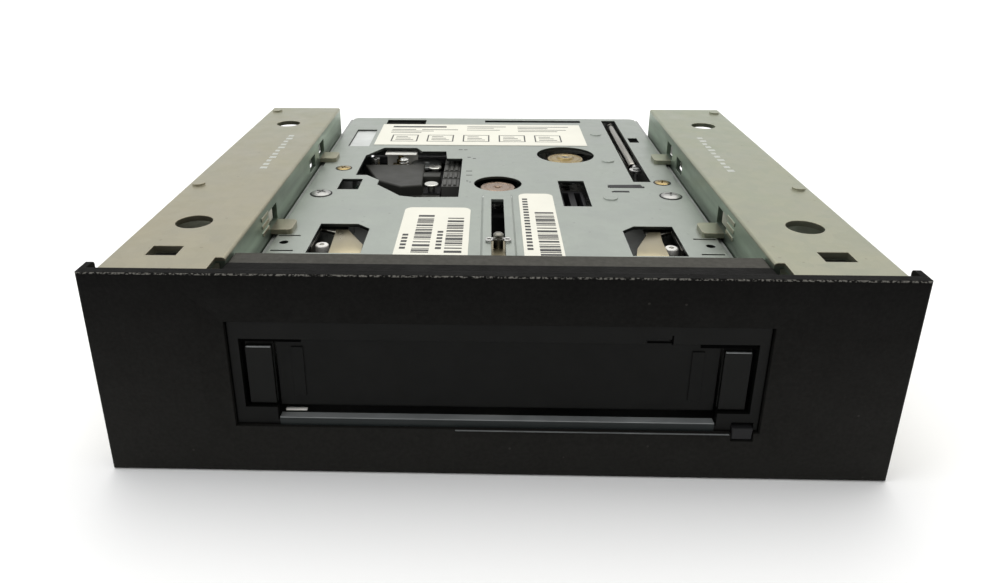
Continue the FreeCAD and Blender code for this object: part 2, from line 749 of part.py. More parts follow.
def make_casing():
    """Drive casing: deck between two walls, bosses for the cover, standoffs for the board."""
    casing = new_body("chassis")
    outline = box("-%s" % drive_half, "casing_front", drive_half, casing_back)
    add(casing, "XY", "drive_bottom", casing_top, outline)
    rear_wall = "(%s - casing_wall)" % casing_back
    tray = box("-%s" % wall_inside, "casing_front", wall_inside, rear_wall)
    cut(casing, "XY", "deck_top", casing_top, tray)
    under = box("-%s" % wall_inside, "casing_front + casing_wall", wall_inside, casing_back)
    cut(casing, "XY", "drive_bottom", deck_under, under)
    bay_half = "power_x + power_width / 2 + fit_gap"
    bay = box("-(%s)" % bay_half, deck_end, bay_half, rear_wall)
    cut(casing, "XY", deck_under, "deck_top", bay)
    plugs = box(
        "data_x - data_width / 2 - 1", "drive_bottom", "power_x + power_width / 2 + 0.8",
        "%s + plug_height + fit_gap" % board_top,
    )
    cut(casing, "XZ", rear_wall, casing_back, plugs)
    posts = [(x, y, "boss_radius") for x, y in boss_screws] + [(x, y, "boss_radius - 0.8") for x, y in small_screws]
    add(casing, "XY", "deck_top - 0.2", casing_top, *posts)
    holes = [(x, y, "screw_radius + running_gap") for x, y in boss_screws + small_screws]
    cut(casing, "XY", "%s - 6" % casing_top, casing_top, *holes)
    feet = [(x, y, "boss_radius") for x, y in standoffs]
    add(casing, "XY", board_top, "%s + 0.2" % deck_under, *feet)
    feet_holes = [(x, y, "screw_radius + running_gap") for x, y in standoffs]
    cut(casing, "XY", board_top, "deck_top", *feet_holes)
    for side in (-1, 1):
        taps = [(y, drive_screw_z, "screw_radius + running_gap") for y in drive_screws_y]
        cut(casing, "YZ", *across(side, wall_inside, drive_half), *taps)
    eye_post = ("(rod_slot_right - 0.9)", "100 - 1.4", "0.85")
    add(casing, "XY", "deck_top - 0.2", "%s - 0.8" % casing_top, eye_post)
    rod_hole = ("(rod_slot_right - 0.9)", "%s - 1.6" % casing_top, "1 + running_gap")
    cut(casing, "XZ", rear_wall, casing_back, rod_hole)


def cover_windows():
    """The openings of the top cover, seen from above."""
    windows = [
        ("puck_x", "puck_y", "puck_window"),
        ("motor_x", "motor_y", "motor_window"),
        block("switch_x", "switch_front + switch_length / 2", "switch_width", "switch_length"),
        box("rod_slot_left", "rod_slot_front", "rod_slot_right", "overall_depth - rod_slot_back_gap"),
        box("-41.6", "73", "-36", "82"),
        box("-37", "overall_depth - 10.8", "-23.5", "overall_depth - 4.6"),
        box("-3", "overall_depth - 7.8", "30", "overall_depth - 4.8"),
        box("42.9", "121", "45.9", "126.5"),
    ]
    head = [
        ("-38.5", "85.4"), ("-38.5", "104.8"), ("-34", "113.4"), ("-23.9", "113.4"), ("-22", "109.7"),
        ("-14.6", "109.7"), ("-14", "102.1"), ("-9.4", "102.1"), ("-9.4", "67.6"), ("-20.5", "67.1"),
        ("-24.5", "68.2"), ("-31.5", "77.2"), ("-31.5", "81"), ("-35.4", "85.4"),
    ]
    windows.append(head)
    for side in (-1, 1):
        inner, outer = mirrored("lever_window_inner", side), mirrored("lever_window_outer", side)
        corner = mirrored("lever_window_inner + lever_window_cut", side)
        windows.append([
            (inner, "lever_window_front"),
            (outer, "lever_window_front"),
            (outer, "lever_window_rear"),
            (corner, "lever_window_rear"),
            (inner, "lever_window_rear - lever_window_cut"),
        ])
    return windows


def make_cover():
    """Pressed top cover with its windows, slotted channel, dimples and screw holes."""
    cover = new_body("top_cover")
    sheet_outline = block(
        "0", "(casing_front + fit_gap + overall_depth - cover_back_gap) / 2", "cover_width",
        "overall_depth - cover_back_gap - casing_front - fit_gap",
    )
    add(cover, "XY", casing_top, "cover_top", sheet_outline)
    dress(cover, "Fillet", "2", lambda edge: runs_along(edge, 2) and near(edge.BoundBox.YMin, "overall_depth - cover_back_gap"))
    cut(cover, "XY", casing_top, "cover_top", *cover_windows())
    channel = box("slot_x - channel_half", "slot_start - 3", "slot_x + channel_half", "channel_end")
    add(cover, "XY", "cover_top", "cover_top + channel_rise", channel)
    dress(
        cover, "Chamfer", "channel_rise * 0.8",
        lambda edge: near(edge.BoundBox.ZMin, "cover_top + channel_rise"),
    )
    slot = box("slot_x - slot_half", "slot_start", "slot_x + slot_half", "slot_end")
    cut(cover, "XY", casing_top, "cover_top + channel_rise", slot)
    holes = [(x, y, "screw_radius + fit_gap / 2") for x, y in boss_screws + small_screws]
    holes += [(mirrored("pivot_x", side), "pivot_y", "pivot_radius + running_gap") for side in (-1, 1)]
    cut(cover, "XY", casing_top, "cover_top", *holes)
    lances = [box("29.9", "76", "39.6", "77.2"), box("30.4", "72.2", "35", "73.2")]
    for side in (-1, 1):
        lances.append(block(mirrored("46.4", side), "40.4", "5", "0.7"))
        lances.append(block(mirrored("46.2", side), "31.8", "5", "0.7"))
        lances.append((mirrored("46.8", side), "36.4", "1"))
    cut(cover, "XY", casing_top, "cover_top", *lances)
    cut(cover, "XY", "cover_top - 0.5", "cover_top", box("-45.6", "115", "-39", "135.6"))
    dimples = [("29.4", "67.6", "1.8"), ("33.2", "100.7", "1.8"), ("33.3", "130.8", "1.8")]
    add(cover, "XY", "cover_top", "cover_top + 0.25", *dimples)
    anchor = box("slot_x - 1", "casing_front + 2", "slot_x + 1", "casing_front + 3.2")
    add(cover, "XY", "%s - 1.8" % casing_top, casing_top, anchor)


def make_cover_screws():
    """Cover screws, and the two small screws beside them."""
    screws = new_body("cover_screws")
    add(screws, "XY", "%s - 5" % casing_top, "cover_top", *[(x, y, "screw_radius") for x, y in boss_screws])
    add(screws, "XY", "cover_top", "cover_top + 0.7", *[(x, y, "screw_head - 0.2") for x, y in boss_screws])
    small = new_body("adjusting_screws")
    add(small, "XY", "%s - 5" % casing_top, "cover_top", *[(x, y, "screw_radius") for x, y in small_screws])
    add(small, "XY", "cover_top", "cover_top + 0.4", *[(x, y, "screw_head - 0.7") for x, y in small_screws])


def make_board():
    """Main board under the deck, its chips and its screws."""
    board = new_body("main_board")
    half = "(%s - board_inset)" % wall_inside
    outline = box("-%s" % half, "board_front", half, "%s - casing_wall - board_inset" % casing_back)
    add(board, "XY", "board_bottom", board_top, outline)
    holes = [(x, y, "screw_radius + fit_gap / 2") for x, y in standoffs]
    cut(board, "XY", "board_bottom", board_top, *holes)
    chips = new_body("board_chips")
    packages = [
        block("-18", "58", "20", "20"), block("14", "62", "14", "14"), block("30", "96", "12", "18"),
        block("-24", "96", "18", "8"), block("2", "90", "8", "10"), block("34", "52", "9", "6"),
        block("-10", "126", "10", "7"), block("12", "122", "7", "7"),
    ]
    add(chips, "XY", "board_bottom - 1.1", "board_bottom", *packages)
    screws = new_body("board_screws")
    add(screws, "XY", "board_bottom", "deck_top - 0.2", *[(x, y, "screw_radius") for x, y in standoffs])
    add(screws, "XY", "board_bottom - 0.9", "board_bottom", *[(x, y, "screw_head") for x, y in standoffs])


def make_connectors():
    """Rear connectors: shrouded data header, power socket and jumper header."""
    plug_top = "(%s + plug_height)" % board_top
    plug_mid = "(%s + plug_height / 2)" % board_top
    rear = "overall_depth"
    data = new_body("data_connector")
    add(data, "XZ", "%s - data_depth" % rear, rear, block("data_x", plug_mid, "data_width", "plug_height"))
    cavity = "%s - data_depth + 3" % rear
    cut(data, "XZ", cavity, rear, block("data_x", plug_mid, "data_width - 3", "plug_height - 2.4"))
    cut(data, "XZ", "%s - 5" % rear, rear, block("data_x", plug_top, "4.4", "3"))
    pins = new_body("data_pins")
    first_x = "data_x - 9.5 * pin_pitch"
    pair = [
        block(first_x, "%s + %d * pin_pitch / 2" % (plug_mid, row), "2 * pin_half", "2 * pin_half") for row in (-1, 1)
    ]
    add(pins, "XZ", cavity, "%s - 3" % rear, *pair)
    rows = pins.newObject("PartDesign::LinearPattern", "data_pins_row")
    rows.Originals = [pins.Tip]
    rows.Direction = ([item for item in pins.Origin.OriginFeatures if item.Role == "X_Axis"][0], [""])
    rows.setExpression("Length", bound("19 * pin_pitch"))
    rows.Occurrences = 20
    pins.Tip = rows
    power = new_body("power_connector")
    half, corner = "power_width / 2", "1.8"
    low = board_top
    socket = [
        ("power_x - %s" % half, "%s + %s" % (low, corner)),
        ("power_x - %s + %s" % (half, corner), low),
        ("power_x + %s - %s" % (half, corner), low),
        ("power_x + %s" % half, "%s + %s" % (low, corner)),
        ("power_x + %s" % half, plug_top),
        ("power_x - %s" % half, plug_top),
    ]
    add(power, "XZ", "%s - power_depth" % rear, rear, socket)
    cut(power, "XZ", "%s - power_depth + 3" % rear, rear, block("power_x", plug_mid, "power_width - 3", "plug_height - 3"))
    contacts = new_body("power_pins")
    places = [("power_x + %.1f * power_pitch" % step, plug_mid, "1.05") for step in (-1.5, -0.5, 0.5, 1.5)]
    add(contacts, "XZ", "%s - power_depth + 3" % rear, "%s - 5" % rear, *places)
    jumper = new_body("jumper_header")
    add(jumper, "XZ", "%s - 8.5" % rear, "%s - 6" % rear, block("jumper_x", "%s + 3" % low, "jumper_width", "6"))
    stakes = [
        block("jumper_x + %d * pin_pitch" % column, "%s + 3 + %d * pin_pitch / 2" % (low, row), "2 * pin_half", "2 * pin_half")
        for column in (-1, 0, 1)
        for row in (-1, 1)
    ]
    add(jumper, "XZ", "%s - 6" % rear, rear, *stakes)


def belt_loop(from_centre, from_radius, to_centre, to_radius):
    """The closed line of a belt round two pulleys."""
    line = to_centre - from_centre
    along = math.atan2(line.y, line.x)
    lean = math.acos((from_radius - to_radius) / line.Length)

    def spot(centre, radius, angle):
        return centre + FreeCAD.Vector(math.cos(angle), math.sin(angle), 0) * radius

    ends = [
        (spot(from_centre, from_radius, along + turn), spot(to_centre, to_radius, along + turn))
        for turn in (lean, -lean)
    ]
    (from_left, to_left), (from_right, to_right) = ends
    edges = [
        Part.LineSegment(from_left, to_left).toShape(),
        Part.Arc(to_left, spot(to_centre, to_radius, along), to_right).toShape(),
        Part.LineSegment(to_right, from_right).toShape(),
        Part.Arc(from_right, spot(from_centre, from_radius, along + math.pi), from_left).toShape(),
    ]
    return Part.Wire(edges)


def make_belt():
    """Flat belt from the motor's pulley to the capstan's."""
    level = value("pulley_bottom + (pulley_height - belt_width) / 2")
    capstan = FreeCAD.Vector(value("puck_x"), value("puck_y"), level)
    motor = FreeCAD.Vector(value("motor_x"), value("motor_y"), level)
    radii = [value("%s + running_gap" % name) for name in ("capstan_pulley_radius", "motor_pulley_radius")]
    thick = value("belt_thickness")
    outside = Part.Face(belt_loop(capstan, radii[0] + thick, motor, radii[1] + thick))
    inside = Part.Face(belt_loop(capstan, radii[0], motor, radii[1]))
    up = FreeCAD.Vector(0, 0, value("belt_width"))
    belt = doc.addObject("Part::Feature", "drive_belt")
    belt.Label = "drive_belt"
    belt.Shape = outside.cut(inside).extrude(up)
    belt.setExpression("Placement.Base.y", bound("-overall_depth / 2"))
    pieces.append(belt)


def pulley_section(radius):
    """Half section of a flanged pulley on the shaft."""
    low, high = "pulley_bottom", "(pulley_bottom + pulley_height)"
    bore = "shaft_radius + running_gap"
    flange = "%s + 1" % radius
    return [
        (bore, low), (flange, low), (flange, "%s + 0.3" % low), (radius, "%s + 0.35" % low),
        (radius, "%s - 0.35" % high), (flange, "%s - 0.3" % high), (flange, high), (bore, high),
    ]


def make_capstan():
    """Capstan: bearing on the deck, shaft, belt pulley, drive puck and top disc."""
    place = ("puck_x", "puck_y")
    bore = "shaft_radius + running_gap"
    bearing = new_body("capstan_bearing", *place)
    spin(bearing, [
        (bore, "deck_top"), ("6", "deck_top"), ("6", "deck_top + 0.8"), ("3.2", "deck_top + 0.8"),
        ("3.2", "pulley_bottom - 0.2"), (bore, "pulley_bottom - 0.2"),
    ])
    shaft = new_body("capstan_shaft", *place)
    top = "cover_top - disc_drop - cap_height"
    spin(shaft, [("0", "deck_top + 0.2"), ("shaft_radius", "deck_top + 0.2"), ("shaft_radius", top), ("0", top)])
    spin(new_body("capstan_pulley", *place), pulley_section("capstan_pulley_radius"))
    puck = new_body("drive_puck", *place)
    low, high = "puck_bottom", "(puck_bottom + puck_height)"
    spin(puck, [
        (bore, "%s - 1" % low), ("2.6", "%s - 1" % low), ("2.6", low), ("puck_radius - 0.3", low),
        ("puck_radius", "%s + 0.4" % low), ("puck_radius", "%s - 0.4" % high), ("puck_radius - 0.3", high),
        ("2.6", high), ("2.6", "%s + 1" % high), (bore, "%s + 1" % high),
    ])
    cap = new_body("capstan_cap", *place)
    disc = "cover_top - disc_drop"
    spin(cap, [
        ("0", "%s - cap_height" % disc), ("cap_radius", "%s - cap_height" % disc),
        ("cap_radius", "%s - 0.2" % disc), ("cap_radius - 0.2", disc), ("1.2", disc),
        ("1.2", "%s + 0.3" % disc), ("0", "%s + 0.3" % disc),
    ])


def make_motor():
    """Spindle motor: base on the deck, rotor can on its shaft, belt pulley and brass top disc."""
    place = ("motor_x", "motor_y")
    bore = "shaft_radius + running_gap"
    base = new_body("motor_base", *place)
    spin(base, [
        (bore, "deck_top"), ("can_radius", "deck_top"), ("can_radius", "deck_top + 0.8"), ("3.2", "deck_top + 0.8"),
        ("3.2", "pulley_bottom - 0.2"), (bore, "pulley_bottom - 0.2"),
    ])
    rotor = new_body("motor_rotor", *place)
    low, high = "can_bottom", "(can_bottom + can_height)"
    spin(rotor, [
        ("0", "deck_top + 0.2"), ("shaft_radius", "deck_top + 0.2"), ("shaft_radius", low),
        ("can_radius", low), ("can_radius", "%s - 1" % high), ("can_radius - 1", high), ("0", high),
    ])
    spin(new_body("motor_pulley", *place), pulley_section("motor_pulley_radius"))
    disc = new_body("motor_disc", *place)
    top = "cover_top - disc_drop"
    spin(disc, [
        ("0", high), ("bush_radius", high), ("bush_radius", "%s - 0.2" % top), ("bush_radius - 0.2", top),
        ("2", top), ("2", "%s - 0.3" % top), ("1.3", "%s - 0.3" % top), ("1.3", "%s + 0.4" % top),
        ("0", "%s + 0.4" % top),
    ])


def make_head():
    """Head carriage on its guide shaft and lead screw, the head, its pads, nut and stepper motor."""
    top = "carriage_top"
    low = "(carriage_top - carriage_height)"
    arm = "(%s + 2.6)" % low
    carriage = new_body("head_carriage")
    body = [("-39", "105.2"), ("-20.9", "106.2"), ("-20.2", "86.1"), ("-26.1", "84.6"), ("-33.4", "90.4")]
    add(carriage, "XY", low, top, body)
    add(carriage, "XY", low, arm, box("screw_x - 3.6", "105", "screw_x + 3.6", "screw_y + 2.5"))
    add(carriage, "XY", low, arm, box("-24.5", "77", "comb_left - 0.6", "107.6"))
    add(carriage, "XY", low, arm, box("guide_x - 2.4", "103", "guide_x + 2.4", "guide_y + 2.4"))
    guide_bore = ("guide_x", "guide_y", "guide_radius + running_gap")
    nut_bore = ("screw_x", "screw_y", "lead_radius + 0.9 + running_gap")
    cut(carriage, "XY", low, arm, guide_bore, nut_bore)
    dress(
        carriage, "Fillet", "0.5",
        lambda edge: near(edge.BoundBox.ZMin, top),
    )
    head = new_body("tape_head")
    face = [
        ("-23", "77"), ("-23", "72.4"), ("-21", "70.8"), ("-18", "70.8"), ("-16", "72.4"), ("-16", "77"),
    ]
    add(head, "XY", "%s - 0.6" % low, "%s - 1.6" % top, face)
    pads = new_body("head_pads")
    pad_x = "comb_left - 3.1"
    add(pads, "XY", arm, "%s - 0.4" % top, (pad_x, "88.8", "2"), (pad_x, "105", "2"))
    nut = new_body("lead_nut", "screw_x", "screw_y")
    nut_inner, nut_outer = "lead_radius + running_gap", "lead_radius + 0.9"
    spin(nut, [
        (nut_inner, low), (nut_outer, low), (nut_outer, arm), ("lead_radius + 1.4", arm),
        ("lead_radius + 1.4", "%s + 1.2" % arm), (nut_inner, "%s + 1.2" % arm),
    ])
    thread_start, thread_end = "deck_top + stepper_height + 0.3", "carriage_top + 1"
    lead = new_body("lead_screw", "screw_x", "screw_y")
    spin(lead, [("0", thread_start), ("lead_radius", thread_start), ("lead_radius", thread_end), ("0", thread_end)])
    stepper = new_body("stepper_motor", "screw_x", "screw_y")
    stepper_top = "deck_top + stepper_height"
    spin(stepper, [
        ("0", "deck_top"), ("stepper_radius", "deck_top"), ("stepper_radius", "%s - 0.6" % stepper_top),
        ("stepper_radius - 0.6", stepper_top), ("0", stepper_top),
    ])
    guide = new_body("guide_shaft", "guide_x", "guide_y")
    spin(guide, [("0", "deck_top"), ("guide_radius", "deck_top"), ("guide_radius", "carriage_top + 1.2"), ("0", "carriage_top + 1.2")])
    comb = new_body("connector_comb")
    add(comb, "XY", "deck_top", "carriage_top + 0.4", box("comb_left", "comb_front", "comb_right", "comb_rear"))
    gaps = [
        block("(comb_left + comb_right) / 2", "comb_front + (comb_rear - comb_front) * %.2f" % share, "6", "0.7")
        for share in (0.25, 0.5, 0.75)
    ]
    cut(comb, "XY", "carriage_top - 1.6", "carriage_top + 0.4", *gaps)
    flex = new_body("head_flex")
    strip = [
        ("screw_y + 2", "31.3"), ("screw_y + stepper_radius + 1.2", "31.3"),
        ("screw_y + stepper_radius + 1.2", "deck_top"), ("screw_y + stepper_radius + 1.4", "deck_top"),
        ("screw_y + stepper_radius + 1.4", "31.5"), ("screw_y + 2", "31.5"),
    ]
    add(flex, "YZ", "screw_x - 6", "screw_x + 3.6", strip)


def make_lever(label, side):
    """Latch lever: flat plate on the pivot, with an arm round to the roller's post."""
    lever = new_body(label)
    low, high = "lever_bottom", "(lever_bottom + lever_plate)"
    foot = "(lever_bottom - roller_length - 0.8)"
    arm = ("roller_x + roller_radius + 0.4", "roller_x + roller_radius + 1.4")
    plate = [
        ("pivot_x - 3.2", "pivot_y - 3.2"), ("pivot_x + 3.2", "pivot_y - 3.2"), ("pivot_x + 3.2", "36.2"),
        ("37.3", "47.8"), (arm[0], "48.6"), (arm[0], "roller_y - 2.4"), (arm[1], "roller_y - 2.4"),
        (arm[1], "50.8"), ("34.6", "49.6"), ("pivot_x - 3.3", "40.4"),
    ]
    add(lever, "XY", low, high, [(mirrored(x, side), y) for x, y in plate])
    post = box(mirrored(arm[0], side), "roller_y - 2", mirrored(arm[1], side), "roller_y + 2")
    add(lever, "XY", foot, low, post)
    shoe = box(mirrored("roller_x - 1.2", side), "roller_y - 2", mirrored(arm[1], side), "roller_y + 2")
    add(lever, "XY", foot, "%s + 0.8" % foot, shoe)
    axle = (mirrored("roller_x", side), "roller_y", "roller_pin")
    add(lever, "XY", foot, "%s + 0.6" % high, axle)
    bore = (mirrored("pivot_x", side), "pivot_y", "pivot_radius + running_gap")
    cut(lever, "XY", low, high, bore)


def make_latch():
    """Rollers on the levers, and the levers' pivots and springs under the cover."""
    for name, side in (("latch_roller_left", -1), ("latch_roller_right", 1)):
        roller = new_body(name)
        centre = (mirrored("roller_x", side), "roller_y")
        start = "lever_bottom - roller_length + running_gap"
        loops = (centre + ("roller_radius",), centre + ("roller_pin + running_gap",))
        add(roller, "XY", start, "lever_bottom + lever_plate + 0.4", *loops)
    pivots = new_body("lever_pivots")
    springs = new_body("lever_springs")
    centres = [(mirrored("pivot_x", side), "pivot_y") for side in (-1, 1)]
    add(pivots, "XY", "lever_bottom - 0.5", "cover_top", *[centre + ("pivot_radius",) for centre in centres])
    add(pivots, "XY", "lever_bottom - 0.5", "lever_bottom - 0.1", *[centre + ("pivot_radius + 1.1",) for centre in centres])
    add(pivots, "XY", "cover_top", "cover_top + 0.6", *[centre + ("pivot_radius + 0.9",) for centre in centres])
    for centre in centres:
        loops = (centre + ("pivot_radius + 0.7",), centre + ("pivot_radius + 0.1",))
        add(springs, "XY", "lever_bottom + lever_plate + 0.2", "%s - 0.1" % casing_top, *loops)


def make_slider():
    """Load slider under the cover, its pin and clip in the slotted channel, and its return spring."""
    slider = new_body("load_slider")
    low, high = "(%s - fit_gap - slider_plate)" % casing_top, "(%s - fit_gap)" % casing_top
    front = "(slider_y - slider_length / 2)"
    plate = box("slot_x - slider_half", front, "slot_x + slider_half", "%s + slider_length" % front)
    add(slider, "XY", low, high, plate)
    tongue = box("slot_x - slider_half + 1", front, "slot_x + slider_half - 1", "%s + 1.5" % front)
    add(slider, "XY", "%s - 1.4" % low, low, tongue)
    pin = new_body("slider_pin", "slot_x", "slider_y")
    top = "cover_top + channel_rise + slider_pin_rise"
    spin(pin, [
        ("0", high), ("slider_pin_radius", high), ("slider_pin_radius", "%s - 0.3" % top),
        ("slider_pin_radius - 0.3", top), ("0", top),
    ])
    clip = new_body("slider_clip")
    clip_low = "cover_top + channel_rise + 0.15"
    clip_high = "%s + clip_plate" % clip_low
    lobes = [("slot_x + %.1f" % offset, "slider_y - 0.6", "1.0") for offset in (-1.9, 1.9)]
    add(clip, "XY", clip_low, clip_high, *lobes)
    add(clip, "XY", clip_low, clip_high, ("slot_x", "slider_y", "slider_pin_radius + 0.8"))
    cut(clip, "XY", clip_low, clip_high, ("slot_x", "slider_y", "slider_pin_radius + running_gap"))
    spring = new_body("slider_spring")
    centre = ("slot_x", "%s - 0.9" % casing_top)
    loops = (centre + ("0.8",), centre + ("0.45",))
    add(spring, "XZ", "casing_front + 3.4", "%s - 0.2" % front, *loops)


def make_switch():
    """Cartridge sensing switches under their window."""
    switch = new_body("sensor_switches")
    half = "(switch_width / 2 - fit_gap)"
    front = "(switch_front + fit_gap)"
    rear = "(switch_front + switch_length - fit_gap)"
    add(switch, "XY", "deck_top", "switch_top", box("switch_x - %s" % half, front, "switch_x + %s" % half, rear))
    wells = [block("switch_x + %s" % offset, "%s + 11.5" % front, "1.6", "13") for offset in ("-1.6", "1.6")]
    cut(switch, "XY", "switch_top - 6", "switch_top", *wells)
    plunger_y = "%s + 2.4" % front
    shaft = "(plunger_travel + 1)"
    well = block("switch_x", plunger_y, "3 + 2 * running_gap", "2.4 + 2 * running_gap")
    cut(switch, "XY", "switch_top - %s - plunger_travel - fit_gap" % shaft, "switch_top", well)
    plunger = new_body("switch_plunger")
    add(plunger, "XY", "switch_top - %s" % shaft, "switch_top + plunger_rise", block("switch_x", plunger_y, "3", "2.4"))
    dress(plunger, "Fillet", "0.4", lambda edge: near(edge.BoundBox.ZMin, "switch_top + plunger_rise"))


def make_rails():
    """Moulded rails that carry the cartridge's edges."""
    rails = new_body("cartridge_rails")
    inner = "(door_width / 2 + rail_gap)"
    loops = []
    for side in (-1, 1):
        section = [
            ("%s - rail_lip" % inner, "deck_top"), ("%s + rail_wall" % inner, "deck_top"),
            ("%s + rail_wall" % inner, "deck_top + rail_height"), (inner, "deck_top + rail_height"),
            (inner, "deck_top + rail_floor"), ("%s - rail_lip" % inner, "deck_top + rail_floor"),
        ]
        loops.append([(mirrored(x, side), z) for x, z in section])
    add(rails, "XZ", "rail_front", "rail_rear", *loops)
    dress(
        rails, "Chamfer", "rail_floor * 0.7",
        lambda edge: near(edge.BoundBox.YMax, "rail_front")
        and near(edge.BoundBox.ZMin, "deck_top + rail_floor")
        and near(edge.BoundBox.ZMax, "deck_top + rail_floor"),
    )


def make_spring_rod():
    """Steel rod along its slot in the cover, with an eye on its front end."""
    rod = new_body("spring_rod")
    centre_x, centre_z = "(rod_slot_right - 0.9)", "(%s - 1.6)" % casing_top
    add(rod, "XZ", "100", "%s - 0.3" % casing_back, (centre_x, centre_z, "1"))
    eye = (centre_x, "100 - 1.4")
    add(rod, "XY", "%s - 0.5" % centre_z, "%s + 0.5" % centre_z, eye + ("1.9",))
    cut(rod, "XY", "%s - 1" % centre_z, "%s + 1" % centre_z, eye + ("0.9",))


def make_labels():
    """Paper labels on the cover."""
    wide = new_body("rear_label")
    add(wide, "XY", "cover_top", "cover_top + label_thickness", box("-37.7", "116.5", "29", "142.5"))
    narrow = new_body("front_labels")
    strips = [box("-22", "28", "-6", "59.3"), box("6", "28", "14.7", "70.3")]
    add(narrow, "XY", "cover_top", "cover_top + label_thickness", *strips)
    dress(narrow, "Fillet", "2", lambda edge: runs_along(edge, 2) and edge.BoundBox.YMin > value("slot_end - 10"))


make_bezel()
make_face_frame()
make_dust_seal()
make_door()
make_flap("side_flap_left", -1)
make_flap("side_flap_right", 1)
make_hinge()
make_light_pipe()
make_bracket("bracket_left", -1)
make_bracket("bracket_right", 1)
make_bracket_screws()
make_casing()
make_cover()
make_cover_screws()
make_board()
make_connectors()
make_motor()
make_belt()
make_capstan()
make_head()
make_lever("latch_lever_left", -1)
make_lever("latch_lever_right", 1)
make_latch()
make_slider()
make_switch()
make_rails()
make_spring_rod()
make_labels()
doc.recompute()

for item in doc.Objects:
    if "Invalid" in item.State or "Error" in item.State:
        raise RuntimeError("%s: %s" % (item.Label, item.State))
for feature in cuts:
    if feature.BaseFeature and feature.Shape.Volume > feature.BaseFeature.Shape.Volume - 1e-4:
        raise RuntimeError("%s removes nothing" % feature.Label)
for piece in pieces:
    if piece.Shape.isNull() or not piece.Shape.isValid():
        raise RuntimeError("%s has no sound shape" % piece.Label)

os.makedirs("parts", exist_ok=True)
for piece in pieces:
    piece.Shape.exportStep("parts/%s.step" % piece.Label)
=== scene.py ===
"""Dressing of the internal data tape drive: its finishes, fine detail and stage, laid out as an add-on."""

import math

import bmesh
import bpy
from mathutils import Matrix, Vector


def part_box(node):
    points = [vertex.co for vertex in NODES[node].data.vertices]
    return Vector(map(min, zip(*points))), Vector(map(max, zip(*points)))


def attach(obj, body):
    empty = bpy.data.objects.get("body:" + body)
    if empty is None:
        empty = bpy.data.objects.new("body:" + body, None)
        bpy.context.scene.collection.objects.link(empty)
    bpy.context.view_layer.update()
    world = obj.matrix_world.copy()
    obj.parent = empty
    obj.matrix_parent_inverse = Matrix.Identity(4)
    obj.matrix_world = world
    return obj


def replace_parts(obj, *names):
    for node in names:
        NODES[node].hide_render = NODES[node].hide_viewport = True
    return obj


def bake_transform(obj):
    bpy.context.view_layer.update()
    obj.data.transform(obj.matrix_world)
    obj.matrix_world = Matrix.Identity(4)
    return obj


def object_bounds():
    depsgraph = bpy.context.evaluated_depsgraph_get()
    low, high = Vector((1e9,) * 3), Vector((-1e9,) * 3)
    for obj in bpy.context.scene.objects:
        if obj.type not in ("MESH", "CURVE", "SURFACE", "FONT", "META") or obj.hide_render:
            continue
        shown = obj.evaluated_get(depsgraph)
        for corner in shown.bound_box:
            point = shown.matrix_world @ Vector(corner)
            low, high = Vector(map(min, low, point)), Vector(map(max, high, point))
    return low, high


bl_info = {
    "name": "Data tape drive dressing",
    "version": (1, 0, 0),
    "blender": (4, 5, 0),
    "location": "View3D > Sidebar > Tape drive",
    "description": "Finishes, fine detail and stage for an internal data tape drive",
    "category": "Object",
}

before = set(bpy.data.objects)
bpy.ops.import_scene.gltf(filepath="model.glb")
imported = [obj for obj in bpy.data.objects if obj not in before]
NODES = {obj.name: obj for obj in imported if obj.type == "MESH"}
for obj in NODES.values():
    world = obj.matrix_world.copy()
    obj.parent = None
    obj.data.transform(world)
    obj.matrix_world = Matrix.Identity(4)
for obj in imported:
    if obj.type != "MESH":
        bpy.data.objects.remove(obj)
cad_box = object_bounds()
FRONT = cad_box[0][1]
MM = 0.001


def near_y(distance):
    """Distance in millimetres behind the bezel's front face, as a place along Y in metres."""
    return FRONT + distance * MM


# Settings ------------------------------------------------------------------------------------------------


def tint(name, description, default):
    """A colour setting."""
    return bpy.props.FloatVectorProperty(
        name=name, description=description, subtype="COLOR", size=3, min=0.0, max=1.0, default=default
    )


def length(name, description, default):
    """A length setting in metres."""
    return bpy.props.FloatProperty(
        name=name, description=description, default=default, min=0.0, unit="LENGTH"
    )


